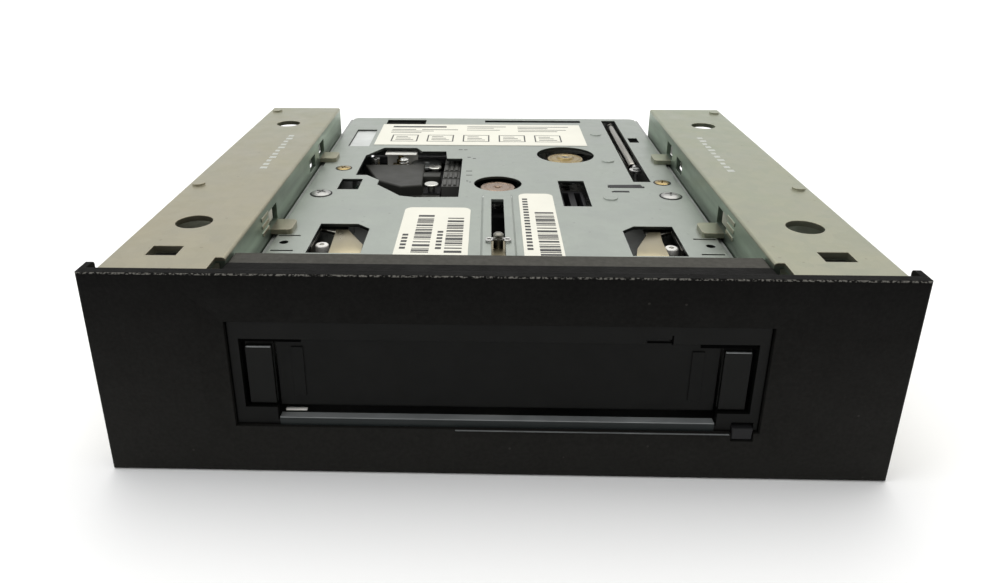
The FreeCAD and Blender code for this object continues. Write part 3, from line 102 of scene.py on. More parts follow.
class TapeDriveColours(bpy.types.PropertyGroup):
    """Base colours of the drive's finishes."""

    bezel: tint("Bezel", "Textured plastic of the bezel", (0.0040, 0.0039, 0.0035))
    face: tint("Face frame", "Plastic of the drive's own front, its door and flaps", (0.0027, 0.0029, 0.0025))
    seal: tint("Dust seal", "Foam strip behind the bezel", (0.062, 0.060, 0.053))
    zinc: tint("Bracket zinc", "Yellowish zinc plate of the brackets", (0.295, 0.264, 0.192))
    zinc_cool: tint("Bracket zinc, cool", "Bluish patches of the brackets' plate", (0.262, 0.290, 0.220))
    wall: tint("Bracket walls", "Greenish plate on the brackets' inner walls", (0.285, 0.350, 0.280))
    cover: tint("Cover", "Zinc-coated sheet of the top cover", (0.318, 0.345, 0.314))
    casting: tint("Casting", "Die-cast casing", (0.30, 0.31, 0.30))
    lever: tint("Lever", "Plated stampings", (0.315, 0.280, 0.190))
    steel: tint("Steel", "Ground steel pins and shafts", (0.62, 0.62, 0.60))
    brass: tint("Brass", "Turned brass", (0.29, 0.22, 0.10))
    copper: tint("Copper", "Coppery disc", (0.29, 0.21, 0.155))
    nylon: tint("Nylon", "White mouldings", (0.78, 0.77, 0.72))
    head: tint("Head block", "Grey plastic of the head block", (0.034, 0.034, 0.030))
    comb: tint("Comb", "Paler plastic of the contact comb", (0.075, 0.075, 0.070))
    chip: tint("Chips", "Black moulded packages and sockets", (0.012, 0.012, 0.013))
    board: tint("Board", "Solder mask of the circuit board", (0.012, 0.085, 0.035))
    paper: tint("Label", "Label stock", (0.70, 0.69, 0.61))
    ink: tint("Ink", "Dark print on the labels", (0.06, 0.06, 0.06))
    rubber: tint("Rubber", "Belt and puck", (0.018, 0.018, 0.018))
    floor: tint("Floor", "Pale floor", (0.92, 0.92, 0.92))


class TapeDriveSizes(bpy.types.PropertyGroup):
    """Sizes of the fine detail."""

    spring_wire: length("Spring wire", "Radius of the coil springs' wire", 0.00016)
    screw_recess: length("Screw recess", "Depth of the cross recess in screw heads", 0.0005)
    print_rise: length("Print rise", "Thickness of the print on the labels", 0.00002)
    edge_round: length("Edge rounding", "Radius that edges are softened by in the finishes", 0.00018)


# Small tools ---------------------------------------------------------------------------------------------

SMOOTH_ANGLE = math.radians(35)
WIRE_SMOOTH_ANGLE = math.radians(60)
WELD = 1e-6
BEVEL_STEPS = 2
WIRE_SIDES = 8
UNTURNED = (0.0, 0.0, 0.0)


def spot(x, y, z):
    """A place in metres from millimetres: across, behind the bezel's front face, and up."""
    return x * MM, near_y(y), z * MM


def on_side(side, first, second):
    """Two distances from the middle plane, on one side of it, in rising order."""
    return sorted((side * first, side * second))


def middle_of(node):
    """The middle of a node's box in millimetres: across, and behind the bezel's front face."""
    low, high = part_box(node)
    return (low[0] + high[0]) / 2 / MM, ((low[1] + high[1]) / 2 - FRONT) / MM


def rectangle(x0, y0, x1, y1):
    """The outline of a rectangle."""
    return [(x0, y0), (x1, y0), (x1, y1), (x0, y1)]


def select_only(piece):
    """Makes one piece the selected and active object."""
    bpy.ops.object.select_all(action="DESELECT")
    piece.select_set(True)
    bpy.context.view_layer.objects.active = piece


def settle(piece):
    """Puts the place, turn and scale of a piece into its mesh."""
    select_only(piece)
    bpy.ops.object.transform_apply(location=True, rotation=True, scale=True)
    return piece


def put(piece, name, place, turn=UNTURNED):
    """Names a piece, turns it and moves it."""
    piece.name = name
    piece.rotation_euler = turn
    piece.location = place
    return settle(piece)


def copy_to(piece, name, place, turn):
    """A copy of a piece with its own mesh, turned and then moved."""
    fresh = piece.copy()
    fresh.data = piece.data.copy()
    bpy.context.scene.collection.objects.link(fresh)
    return put(fresh, name, place, turn)


def apply_modifiers(piece):
    """Applies every modifier of a piece."""
    select_only(piece)
    for modifier in list(piece.modifiers):
        bpy.ops.object.modifier_apply(modifier=modifier.name)
    return piece


def soften(piece, width):
    """Rounds the sharp edges of a piece."""
    bevel = piece.modifiers.new("Rounded edges", "BEVEL")
    bevel.width = width
    bevel.segments = BEVEL_STEPS
    bevel.limit_method = "ANGLE"
    bevel.angle_limit = SMOOTH_ANGLE
    apply_modifiers(piece)
    bpy.ops.object.shade_smooth_by_angle(angle=SMOOTH_ANGLE)
    return piece


def slab(name, low, high, width=0.0):
    """A block between two corners in metres, with its edges rounded by width."""
    bpy.ops.object.select_all(action="DESELECT")
    bpy.ops.mesh.primitive_cube_add(size=1, location=[(a + b) / 2 for a, b in zip(low, high)])
    piece = bpy.context.object
    piece.name = name
    piece.scale = [b - a for a, b in zip(low, high)]
    settle(piece)
    if width:
        soften(piece, width)
    return piece


def block(name, low, high, width=0.0):
    """A slab between two corners of (x, distance behind the front, height), all in millimetres."""
    return slab(name, spot(*low), spot(*high), width * MM)


def join(pieces, name):
    """Joins pieces into one object."""
    bpy.ops.object.select_all(action="DESELECT")
    for piece in pieces:
        piece.select_set(True)
    bpy.context.view_layer.objects.active = pieces[0]
    if len(pieces) > 1:
        bpy.ops.object.join()
    pieces[0].name = name
    return pieces[0]


def open_form(name):
    """A piece with an empty mesh, in edit mode, and its form."""
    bpy.ops.object.select_all(action="DESELECT")
    bpy.ops.mesh.primitive_plane_add(size=MM)
    piece = bpy.context.object
    piece.name = name
    bpy.ops.object.mode_set(mode="EDIT")
    form = bmesh.from_edit_mesh(piece.data)
    bmesh.ops.delete(form, geom=form.verts[:], context="VERTS")
    return piece, form


def close_form():
    """Turns the faces outwards and leaves edit mode."""
    bpy.ops.mesh.select_all(action="SELECT")
    bpy.ops.mesh.normals_make_consistent(inside=False)
    bpy.ops.object.mode_set(mode="OBJECT")


def turned(name, corners, steps):
    """A turned piece about the Z axis from a half section of (radius, height) corners in metres."""
    piece, form = open_form(name)
    spots = [form.verts.new((radius, 0.0, height)) for radius, height in corners]
    for first, second in zip(spots, spots[1:]):
        form.edges.new((first, second))
    bmesh.update_edit_mesh(piece.data)
    bpy.ops.mesh.select_all(action="SELECT")
    bpy.ops.mesh.spin(steps=steps, angle=math.tau, center=(0, 0, 0), axis=(0, 0, 1))
    bpy.ops.mesh.select_all(action="SELECT")
    bpy.ops.mesh.remove_doubles(threshold=WELD)
    close_form()
    bpy.ops.object.shade_smooth_by_angle(angle=SMOOTH_ANGLE)
    return piece


def turned_at(name, x, y, corners, steps=48):
    """An upright turned piece from (radius, height) corners, with its axis at a place, all in millimetres."""
    piece = turned(name, [(radius * MM, height * MM) for radius, height in corners], steps)
    return put(piece, name, spot(x, y, 0.0))


def plate(name, outline, low, high, width=0.0):
    """A flat piece with an outline of (x, distance behind the front), between two heights, in millimetres."""
    piece, form = open_form(name)
    form.faces.new([form.verts.new(spot(x, y, low)) for x, y in outline])
    bmesh.update_edit_mesh(piece.data)
    bpy.ops.mesh.select_all(action="SELECT")
    bpy.ops.mesh.extrude_region_move(TRANSFORM_OT_translate={"value": (0, 0, (high - low) * MM)})
    close_form()
    if width:
        soften(piece, width * MM)
    return piece


def coil(name, radius, wire, pitch, turns, steps=22):
    """An open coil of round wire that climbs from the origin along Z, with closed ends."""
    bpy.ops.object.select_all(action="DESELECT")
    bpy.ops.mesh.primitive_circle_add(
        vertices=WIRE_SIDES, radius=wire, location=(radius, 0, 0), rotation=(math.pi / 2, 0, 0),
        fill_type="NOTHING",
    )
    piece = settle(bpy.context.object)
    piece.name = name
    wind = piece.modifiers.new("Wound", "SCREW")
    wind.axis = "Z"
    wind.angle = math.tau
    wind.screw_offset = pitch
    wind.iterations = turns
    wind.steps = steps
    wind.render_steps = steps
    wind.use_merge_vertices = False
    apply_modifiers(piece)
    bpy.ops.object.mode_set(mode="EDIT")
    bpy.ops.mesh.select_all(action="SELECT")
    bpy.ops.mesh.fill_holes(sides=0)
    close_form()
    bpy.ops.object.shade_smooth_by_angle(angle=WIRE_SMOOTH_ANGLE)
    return piece


def paint(piece, finish):
    """Gives a piece its finish."""
    piece.data.materials.clear()
    piece.data.materials.append(bpy.data.materials[finish])
    return piece


def dress(piece, finish, body="drive"):
    """Gives a piece its finish, its material slot and the body it rides on."""
    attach(paint(piece, finish), body)
    return piece


def lay(name, finish, corners, width=0.0, body="drive"):
    """Lays blocks between pairs of corners in millimetres as one dressed piece."""
    return dress(join([block(name, low, high, width) for low, high in corners], name), finish, body)


# Shared effects ------------------------------------------------------------------------------------------

STRETCH = (("Stretch X", 1.0), ("Stretch Y", 1.0), ("Stretch Z", 1.0))
EDGE_SAMPLES = 4
NOISE_REACH = 2.2
SPECK_RARITY = 0.6
ROLLED = (30.0, 1.0, 30.0)


def new_group(name, inputs, output, kind="NodeSocketFloat"):
    """An empty shader group with number inputs and one output, and the sockets at its two ends."""
    group = bpy.data.node_groups.new(name, "ShaderNodeTree")
    for label, default in inputs:
        socket = group.interface.new_socket(label, in_out="INPUT", socket_type="NodeSocketFloat")
        socket.default_value = default
    group.interface.new_socket(output, in_out="OUTPUT", socket_type=kind)
    return group, group.nodes.new("NodeGroupInput").outputs, group.nodes.new("NodeGroupOutput").inputs


def add_node(tree, kind, fed=(), **settings):
    """A shader node with its settings, and its inputs fed by sockets or set to values."""
    node = tree.nodes.new("ShaderNode" + kind)
    for label, setting in settings.items():
        setattr(node, label, setting)
    for label, item in dict(fed).items():
        if isinstance(item, bpy.types.NodeSocket):
            tree.links.new(item, node.inputs[label])
        else:
            node.inputs[label].default_value = item
    return node


def math_node(tree, operation, *terms):
    """The result of a math node fed by sockets or numbers."""
    return add_node(tree, "Math", enumerate(terms), operation=operation).outputs[0]


def vector_node(tree, operation, first, second):
    """A vector math node fed by sockets or values."""
    return add_node(tree, "VectorMath", {0: first, 1: second}, operation=operation)


def ramp(tree, value, start, end, first=0.0, last=1.0, **settings):
    """A share that goes from first to last while a value goes from start to end."""
    fed = {"Value": value, "From Min": start, "From Max": end, "To Min": first, "To Max": last}
    return add_node(tree, "MapRange", fed, **settings).outputs["Result"]


def object_place(tree):
    """The place in the object's own space."""
    return add_node(tree, "TexCoord").outputs["Object"]


def place_parts(tree, place):
    """The X, Y and Z of a place."""
    return add_node(tree, "SeparateXYZ", {0: place}).outputs


def stretched_place(group, given):
    """The place in the object's own space, stretched along each axis by a group's inputs."""
    stretch = add_node(group, "CombineXYZ", {axis: given["Stretch " + axis] for axis in "XYZ"})
    return vector_node(group, "MULTIPLY", object_place(group), stretch.outputs[0]).outputs[0]


def build_mottle():
    """Mottle: smooth noise in the object's own space, stretched along each axis, between two values."""
    inputs = (("Scale", 200.0), *STRETCH, ("Detail", 3.0), ("Contrast", 1.0), ("Low", 0.0), ("High", 1.0))
    group, given, result = new_group("Mottle", inputs, "Value")
    noise = add_node(group, "TexNoise", {
        "Vector": stretched_place(group, given), "Scale": given["Scale"], "Detail": given["Detail"],
    })
    centred = math_node(group, "SUBTRACT", noise.outputs["Fac"], 0.5)
    strong = math_node(group, "MULTIPLY", centred, given["Contrast"])
    wide = math_node(group, "MULTIPLY", strong, NOISE_REACH)
    share = math_node(group, "ADD", wide, 0.5)
    group.links.new(ramp(group, share, 0.0, 1.0, given["Low"], given["High"]), result["Value"])


def build_relief():
    """Relief: softened edges and a fine moulded or rolled grain, as a normal."""
    inputs = (("Edge Radius", 0.0002), ("Grain Scale", 2000.0), *STRETCH, ("Grain Height", 0.00002),
              ("Strength", 0.5))
    group, given, result = new_group("Relief", inputs, "Normal", "NodeSocketVector")
    noise = add_node(group, "TexNoise", {
        "Vector": stretched_place(group, given), "Scale": given["Grain Scale"], "Detail": 2.0,
    })
    rounded = add_node(group, "Bevel", {"Radius": given["Edge Radius"]}, samples=EDGE_SAMPLES)
    bump = add_node(group, "Bump", {
        "Strength": given["Strength"], "Distance": given["Grain Height"], "Height": noise.outputs["Fac"],
        "Normal": rounded.outputs["Normal"],
    })
    group.links.new(bump.outputs["Normal"], result["Normal"])


def build_edge_wear():
    """Edge wear: a broken line along outer and inner edges, from the rounded and the flat normal."""
    inputs = (("Radius", 0.0005), ("Break Up", 500.0), ("Amount", 1.0))
    group, given, result = new_group("Edge Wear", inputs, "Mask")
    rounded = add_node(group, "Bevel", {"Radius": given["Radius"]}, samples=EDGE_SAMPLES)
    flat = add_node(group, "NewGeometry")
    product = vector_node(group, "DOT_PRODUCT", rounded.outputs["Normal"], flat.outputs["Normal"])
    bent = math_node(group, "SUBTRACT", 1.0, product.outputs["Value"])
    place = object_place(group)
    noise = add_node(group, "TexNoise", {"Vector": place, "Scale": given["Break Up"], "Detail": 3.0})
    broken = math_node(group, "MULTIPLY", bent, noise.outputs["Fac"])
    amount = math_node(group, "MULTIPLY", ramp(group, broken, 0.02, 0.12), given["Amount"])
    group.links.new(amount, result["Mask"])


def build_specks():
    """Specks: sparse round dots in the object's own space."""
    group, given, result = new_group("Specks", (("Scale", 900.0), ("Size", 0.12), ("Amount", 1.0)), "Mask")
    cells = add_node(group, "TexVoronoi", {"Vector": object_place(group), "Scale": given["Scale"]})
    inside = math_node(group, "LESS_THAN", cells.outputs["Distance"], given["Size"])
    chance = add_node(group, "SeparateColor", {0: cells.outputs["Color"]})
    chosen = math_node(group, "GREATER_THAN", chance.outputs[0], SPECK_RARITY)
    both = math_node(group, "MULTIPLY", inside, chosen)
    group.links.new(math_node(group, "MULTIPLY", both, given["Amount"]), result["Mask"])


def build_spangle():
    """Spangle: the crystal patches and faint rolling lines of plated sheet, between 0 and 1."""
    inputs = (("Scale", 160.0), ("Lines", 60.0), ("Line Share", 0.3))
    group, given, result = new_group("Spangle", inputs, "Value")
    place = object_place(group)
    cells = add_node(group, "TexVoronoi", {"Vector": place, "Scale": given["Scale"]})
    shade = add_node(group, "SeparateColor", {0: cells.outputs["Color"]})
    rolled = vector_node(group, "MULTIPLY", place, ROLLED)
    lines = add_node(group, "TexNoise", {"Vector": rolled.outputs[0], "Scale": given["Lines"]})
    drift = add_node(group, "Mix", {
        "Factor": given["Line Share"], "A": shade.outputs[0], "B": lines.outputs["Fac"],
    })
    group.links.new(drift.outputs["Result"], result["Value"])


def place_group(tree, name, **values):
    """The output of a group placed with its own values. Underscores in their names stand for spaces."""
    node = tree.nodes.new("ShaderNodeGroup")
    node.node_tree = bpy.data.node_groups[name]
    for label, number in values.items():
        node.inputs[label.replace("_", " ")].default_value = number
    return node.outputs[0]


def blend_colour(tree, share, first, second):
    """A colour between two colours or sockets by a share."""
    ends = {
        label: item if isinstance(item, bpy.types.NodeSocket) else (*item, 1.0)
        for label, item in (("A", first), ("B", second))
    }
    return add_node(tree, "Mix", {"Factor": share, **ends}, data_type="RGBA").outputs["Result"]


def shade_of(colour, share):
    """The colour made lighter or darker."""
    return tuple(min(1.0, part * share) for part in colour)


def mottled(tree, colour, spread, **values):
    """A colour that wavers between a darker and a paler shade."""
    waver = place_group(tree, "Mottle", **values)
    return blend_colour(tree, waver, shade_of(colour, 1 - spread), shade_of(colour, 1 + spread))


def rubbed(tree, body, pale, radius, break_up, amount):
    """A colour with a paler one along its worn edges."""
    worn = place_group(tree, "Edge Wear", Radius=radius, Break_Up=break_up, Amount=amount)
    return blend_colour(tree, worn, body, pale)


def specked(tree, body, speck, scale, size, amount):
    """A colour with specks of another."""
    return blend_colour(tree, place_group(tree, "Specks", Scale=scale, Size=size, Amount=amount), body, speck)


def new_finish(name, metallic=0.0, specular=0.5, coat=0.0):
    """The node tree and shader of a new material."""
    material = bpy.data.materials.new(name)
    material.use_nodes = True
    shader = material.node_tree.nodes["Principled BSDF"]
    shader.inputs["Metallic"].default_value = metallic
    shader.inputs["Specular IOR Level"].default_value = specular
    shader.inputs["Coat Weight"].default_value = coat
    return material.node_tree, shader


def surface(tree, shader, colour, dull, relief):
    """Feeds a shader its colour, its uneven roughness and its relief."""
    tree.links.new(colour, shader.inputs["Base Color"])
    tree.links.new(place_group(tree, "Mottle", **dull), shader.inputs["Roughness"])
    tree.links.new(place_group(tree, "Relief", **relief), shader.inputs["Normal"])


def plastic(name, colour, roughness, grain_scale=1800.0, grain_height=0.00001, edge=0.0002, wear=0.25,
            specular=0.12, spread=0.12, lift=2.2):
    """Moulded plastic: slight mottling, fine grain, softened edges and paler rubbed corners."""
    tree, shader = new_finish(name, specular=specular)
    body = mottled(tree, colour, spread, Scale=90.0)
    worn = rubbed(tree, body, shade_of(colour, lift), edge * 1.6, 900.0, wear)
    surface(
        tree, shader, worn, dict(Scale=260.0, Low=roughness - 0.06, High=roughness + 0.06),
        dict(Edge_Radius=edge, Grain_Scale=grain_scale, Grain_Height=grain_height),
    )


def metal(name, colour, roughness, stretch=(1.0, 1.0, 1.0), grain_height=0.000004, edge=0.00015, wear=0.3,
          spread=0.10, metallic=1.0, grain_scale=1500.0, lift=1.35):
    """Turned, ground or cast metal: grain along its working direction, bright edges, uneven shine."""
    tree, shader = new_finish(name, metallic=metallic)
    along = {"Stretch_" + axis: share for axis, share in zip("XYZ", stretch)}
    body = mottled(tree, colour, spread, Scale=160.0, **along)
    worn = rubbed(tree, body, shade_of(colour, lift), edge * 1.5, 700.0, wear)
    surface(
        tree, shader, worn,
        dict(Scale=420.0, Low=max(0.03, roughness - 0.08), High=roughness + 0.08, **along),
        dict(Edge_Radius=edge, Grain_Scale=grain_scale, Grain_Height=grain_height, **along),
    )


def plated_sheet(name, warm, cool, wall, top, span, roughness, spangle_share=0.25, rear_share=0.5):
    """Plated sheet: crystal patches, warm and cool areas that drift to the rear and right, handling marks.

    Below top, and as far from the middle as span says, it turns to the streaked colour of its walls; on the
    cover that dark colour is painted shade on the cut edges and underside.
    """
    tree, shader = new_finish(name, metallic=0.9)
    parts = place_parts(tree, object_place(tree))
    drift = place_group(tree, "Mottle", Scale=16.0, Detail=3.0, Contrast=0.8)
    some = math_node(tree, "MULTIPLY", drift, 0.35)
    aside = math_node(tree, "ADD", some, ramp(tree, parts["X"], -0.03, 0.06, 0.0, 0.45))
    share = math_node(tree, "ADD", aside, ramp(tree, parts["Y"], near_y(15), near_y(130), 0.0, rear_share))
    body = blend_colour(tree, share, warm, cool)
    spangle = place_group(tree, "Spangle", Scale=420.0, Lines=90.0, Line_Share=0.45)
    lit = math_node(tree, "MULTIPLY", spangle, spangle_share)
    patches = blend_colour(tree, lit, body, shade_of(warm, 1.5))
    worn = rubbed(tree, patches, shade_of(warm, 1.45), 0.0004, 500.0, 0.5)
    marked = specked(tree, worn, shade_of(warm, 0.45), 320.0, 0.10, 0.35)
    # On the cover the colour below its top face is painted shade on the cut edges and underside.
    below = math_node(tree, "LESS_THAN", parts["Z"], top)
    across = math_node(tree, "ABSOLUTE", parts["X"])
    inside = math_node(tree, "LESS_THAN", across, span[1])
    beyond = math_node(tree, "GREATER_THAN", across, span[0])
    low_inside = math_node(tree, "MULTIPLY", below, inside)
    on_wall = math_node(tree, "MULTIPLY", low_inside, beyond)
    streaks = place_group(tree, "Mottle", Scale=60.0, Stretch_Y=0.35, Stretch_Z=4.0, Detail=4.0, Contrast=1.6)
    streaked = blend_colour(tree, streaks, shade_of(wall, 0.72), shade_of(wall, 1.25))
    surface(
        tree, shader, blend_colour(tree, on_wall, marked, streaked),
        dict(Scale=120.0, Detail=5.0, Low=roughness - 0.08, High=roughness + 0.10),
        dict(Edge_Radius=0.00025, Grain_Scale=900.0, Grain_Height=0.000006, Stretch_Y=0.15, Strength=0.4),
    )


def speckled_bezel(name, colour):
    """Coarse bezel plastic: pebbled grain, paler low down as painted light from the floor, dust on its faces
    and a painted highlight along its top front rim.
    """
    tree, shader = new_finish(name, specular=0.07)
    parts = place_parts(tree, object_place(tree))
    low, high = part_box("bezel")
    # Painted light from the floor: the colour is much paler at the bottom of the bezel than at its top.
    climb = ramp(tree, parts["Z"], low[2], high[2])
    deep = blend_colour(tree, climb, shade_of(colour, 3.0), shade_of(colour, 0.6))
    pale = blend_colour(tree, climb, shade_of(colour, 4.0), shade_of(colour, 1.1))
    pebbles = place_group(tree, "Mottle", Scale=1300.0, Detail=3.0, Contrast=1.2)
    body = blend_colour(tree, pebbles, deep, pale)
    dusty = specked(tree, body, (0.10, 0.095, 0.085), 300.0, 0.07, 0.16)
    # Painted highlight: a broken pale line along the bezel's top front rim.
    front = math_node(tree, "LESS_THAN", parts["Y"], near_y(0.3))
    top = math_node(tree, "GREATER_THAN", parts["Z"], high[2] - 0.3 * MM)
    front_rim = math_node(tree, "MULTIPLY", top, front)
    top_rim_highlight_noise = place_group(
        tree, "Mottle", Scale=2600.0, Stretch_X=0.8, Detail=2.0, Contrast=3.5, Low=-0.2, High=0.8
    )
    bright = math_node(tree, "MULTIPLY", front_rim, top_rim_highlight_noise)
    surface(
        tree, shader, blend_colour(tree, bright, dusty, (0.15, 0.145, 0.13)),
        dict(Scale=180.0, Detail=4.0, Low=0.60, High=0.75),
        dict(Edge_Radius=0.0003, Grain_Scale=1500.0, Grain_Height=0.00009, Strength=0.75),
    )


def foam(name, colour):
    """Open foam: coarse cells and a matt surface."""
    tree, shader = new_finish(name, specular=0.1)
    surface(
        tree, shader, mottled(tree, colour, 0.15, Scale=900.0, Detail=5.0),
        dict(Scale=400.0, Low=0.85, High=0.98),
        dict(Edge_Radius=0.0004, Grain_Scale=1800.0, Grain_Height=0.00005, Strength=0.6),
    )


def circuit_board(name, colour):
    """Solder mask with paler copper tracks under it and tinned dots."""
    tree, shader = new_finish(name, coat=0.3)
    tracks = add_node(tree, "TexBrick", {
        "Vector": object_place(tree), "Scale": 130.0, "Mortar Size": 0.028, "Brick Width": 1.4,
        "Row Height": 0.22,
    })
    broken = place_group(tree, "Mottle", Scale=45.0, Contrast=3.0)
    shown = math_node(tree, "MULTIPLY", tracks.outputs["Fac"], broken)
    body = blend_colour(tree, shown, colour, shade_of(colour, 2.3))
    surface(
        tree, shader, specked(tree, body, (0.45, 0.45, 0.42), 330.0, 0.16, 0.9),
        dict(Scale=300.0, Low=0.28, High=0.45),
        dict(Edge_Radius=0.0001, Grain_Scale=2500.0, Grain_Height=0.00001),
    )


FINISHES = {
    "Bezel plastic": ("bezel",),
    "Face plastic": ("face_frame",),
    "Door plastic": ("cartridge_door",),
    "Flap plastic": ("side_flap_left", "side_flap_right"),
    "Seal foam": ("dust_seal",),
    "Light pipe": ("light_pipe",),
    "Bracket zinc": ("bracket_left", "bracket_right"),
    "Cover zinc": ("top_cover",),
    "Casting": ("chassis", "motor_base", "stepper_motor"),
    "Lever plate": ("latch_lever_left", "latch_lever_right", "load_slider"),
    "Ground steel": ("hinge_rod", "motor_rotor", "capstan_shaft", "lead_screw", "guide_shaft", "spring_rod",
                     "slider_pin", "lever_pivots", "tape_head"),
    "Spring steel": ("door_springs", "lever_springs", "slider_spring", "slider_clip"),
    "Screw plate": ("bracket_screws", "cover_screws", "board_screws"),
    "Brass": ("motor_disc", "motor_pulley", "adjusting_screws", "capstan_bearing", "lead_nut"),
    "Copper": ("capstan_cap",),
    "Contact gold": ("data_pins", "power_pins", "jumper_header"),
    "White nylon": ("capstan_pulley", "latch_roller_left", "latch_roller_right", "cartridge_rails",
                    "power_connector", "head_pads", "head_flex"),
    "Head plastic": ("head_carriage",),
    "Comb plastic": ("connector_comb",),
    "Package plastic": ("board_chips", "data_connector", "sensor_switches", "switch_plunger"),
    "Board mask": ("main_board",),
    "Label stock": ("rear_label", "front_labels"),
    "Rubber": ("drive_belt", "drive_puck"),
}


class TAPEDRIVE_OT_finishes(bpy.types.Operator):
    """Build every finish and give each node of the drive its own"""

    bl_idname = "tapedrive.finishes"
    bl_label = "Finishes"

    def execute(self, context):
        colours = context.scene.tape_drive_colours
        edge = context.scene.tape_drive_sizes.edge_round
        for build in (build_mottle, build_relief, build_edge_wear, build_specks, build_spangle):
            build()
        speckled_bezel("Bezel plastic", colours.bezel)
        foam("Seal foam", colours.seal)
        circuit_board("Board mask", colours.board)
        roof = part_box("bracket_right")[1][2]
        plated_sheet("Bracket zinc", colours.zinc, colours.zinc_cool, colours.wall, roof - 1.2 * MM,
                     (0.0508, 0.0530), 0.38)
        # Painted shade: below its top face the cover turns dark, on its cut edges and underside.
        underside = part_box("rear_label")[0][2] - 0.12 * MM
        cover, face, steel = colours.cover, colours.face, colours.steel
        plated_sheet("Cover zinc", cover, shade_of(cover, 0.88), shade_of(cover, 0.16),
                     underside, (0.0, 1.0), 0.40, spangle_share=0.12, rear_share=0.2)
        plastic("Face plastic", face, 0.46, grain_scale=2600, grain_height=0.00002, edge=edge)
        plastic("Door plastic", shade_of(face, 0.95), 0.50, grain_scale=3000, grain_height=0.00002, edge=edge)
        plastic("Flap plastic", shade_of(face, 1.35), 0.42, grain_scale=2600, edge=edge)
        plastic("Light pipe", (0.017, 0.017, 0.018), 0.22, grain_height=0.000002, edge=edge)
        # Painted highlight: a pale plastic for the lit top of the sill, the flaps' top edges and the lower
        # lip of the bezel's window.
        plastic("Highlight plastic", (0.19, 0.20, 0.20), 0.34, edge=edge, specular=0.4, spread=0.3)
        # Painted shadow: a matt near-black for the shade in narrow gaps.
        plastic("Painted shadow black", (0.0006, 0.0006, 0.0006), 0.8, wear=0.0, specular=0.02)
        plastic("Sill plastic", (0.011, 0.0145, 0.0145), 0.40, edge=edge, specular=0.25)
        plastic("White nylon", colours.nylon, 0.42, edge=edge, wear=0.1, spread=0.05, lift=1.1)
        plastic("Head plastic", colours.head, 0.40, edge=edge, lift=2.4, wear=0.5)
        plastic("Comb plastic", colours.comb, 0.42, edge=edge, lift=2.0, wear=0.4)
        plastic("Package plastic", colours.chip, 0.45, edge=edge)
        plastic("Label stock", colours.paper, 0.62, grain_height=0.000003, edge=0.00003, wear=0.0,
                spread=0.03)
        plastic("Label ink", colours.ink, 0.55, grain_height=0.000002, edge=0.00001, wear=0.0)
        plastic("Rubber", colours.rubber, 0.75, grain_height=0.00002, edge=edge)
        metal("Casting", colours.casting, 0.55, grain_height=0.00002, grain_scale=1100, metallic=0.8)
        metal("Lever plate", colours.lever, 0.34, stretch=(1.0, 0.2, 1.0))
        metal("Ground steel", steel, 0.26, stretch=(1.0, 1.0, 6.0))
        metal("Spring steel", shade_of(steel, 0.75), 0.32)
        metal("Screw plate", shade_of(steel, 0.55), 0.40)
        # Painted reflection: a pale, barely metallic colour with streaks along its height stands in for the
        # bright reflections of chromed rollers that sit in shade.
        metal("Roller painted sheen", (0.74, 0.73, 0.69), 0.30, stretch=(1.0, 1.0, 9.0), spread=0.2, metallic=0.25)
        metal("Sleeve steel", (0.30, 0.29, 0.26), 0.22, stretch=(6.0, 0.3, 6.0), spread=0.3, wear=0.6)
        metal("Dark steel", (0.16, 0.155, 0.135), 0.30, wear=0.9, lift=3.2)
        metal("Brass", colours.brass, 0.30)
        metal("Copper", colours.copper, 0.26)
        metal("Contact gold", (0.80, 0.60, 0.28), 0.24)
        # Pale sheet: a painted highlight on the channel's step; it also floors the cover's recess.
        metal("Bright sheet", (0.60, 0.62, 0.60), 0.35)
        metal("Pad silver", (0.60, 0.60, 0.56), 0.30)
        metal("Stamped mark", (0.50, 0.52, 0.47), 0.30)
        for finish, names in FINISHES.items():
            for name in names:
                for holder in NODES[name].material_slots:
                    holder.material = bpy.data.materials[finish]
        return {"FINISHED"}


# Each light: its place, turn, size, power and colour.
LIGHTS = {
    "Ceiling light": ((0.10, 0.45, 1.30), (-0.35, 0.0, 0.0), 1.4, 12.0, (1.0, 0.98, 0.94)),
    "Window light": ((-0.9, -0.2, 0.9), (0.55, -0.85, 0.0), 0.8, 4.0, (0.93, 0.97, 1.0)),
    "Front fill": ((0.25, -1.1, 0.7), (1.0, 0.2, 0.0), 0.9, 1.5, (1.0, 0.98, 0.95)),
}
FLOOR_WIDTH = 6.0
CAMERA_PLACE = (-0.00192, -0.20197, 0.10015)
CAMERA_TURN = (1.1866, 0.00124, 0.02809)
CAMERA_LENS = {
    "lens": 28.681, "sensor_width": 36.0, "shift_x": 0.03397, "shift_y": -0.05564, "clip_start": 0.005,
}


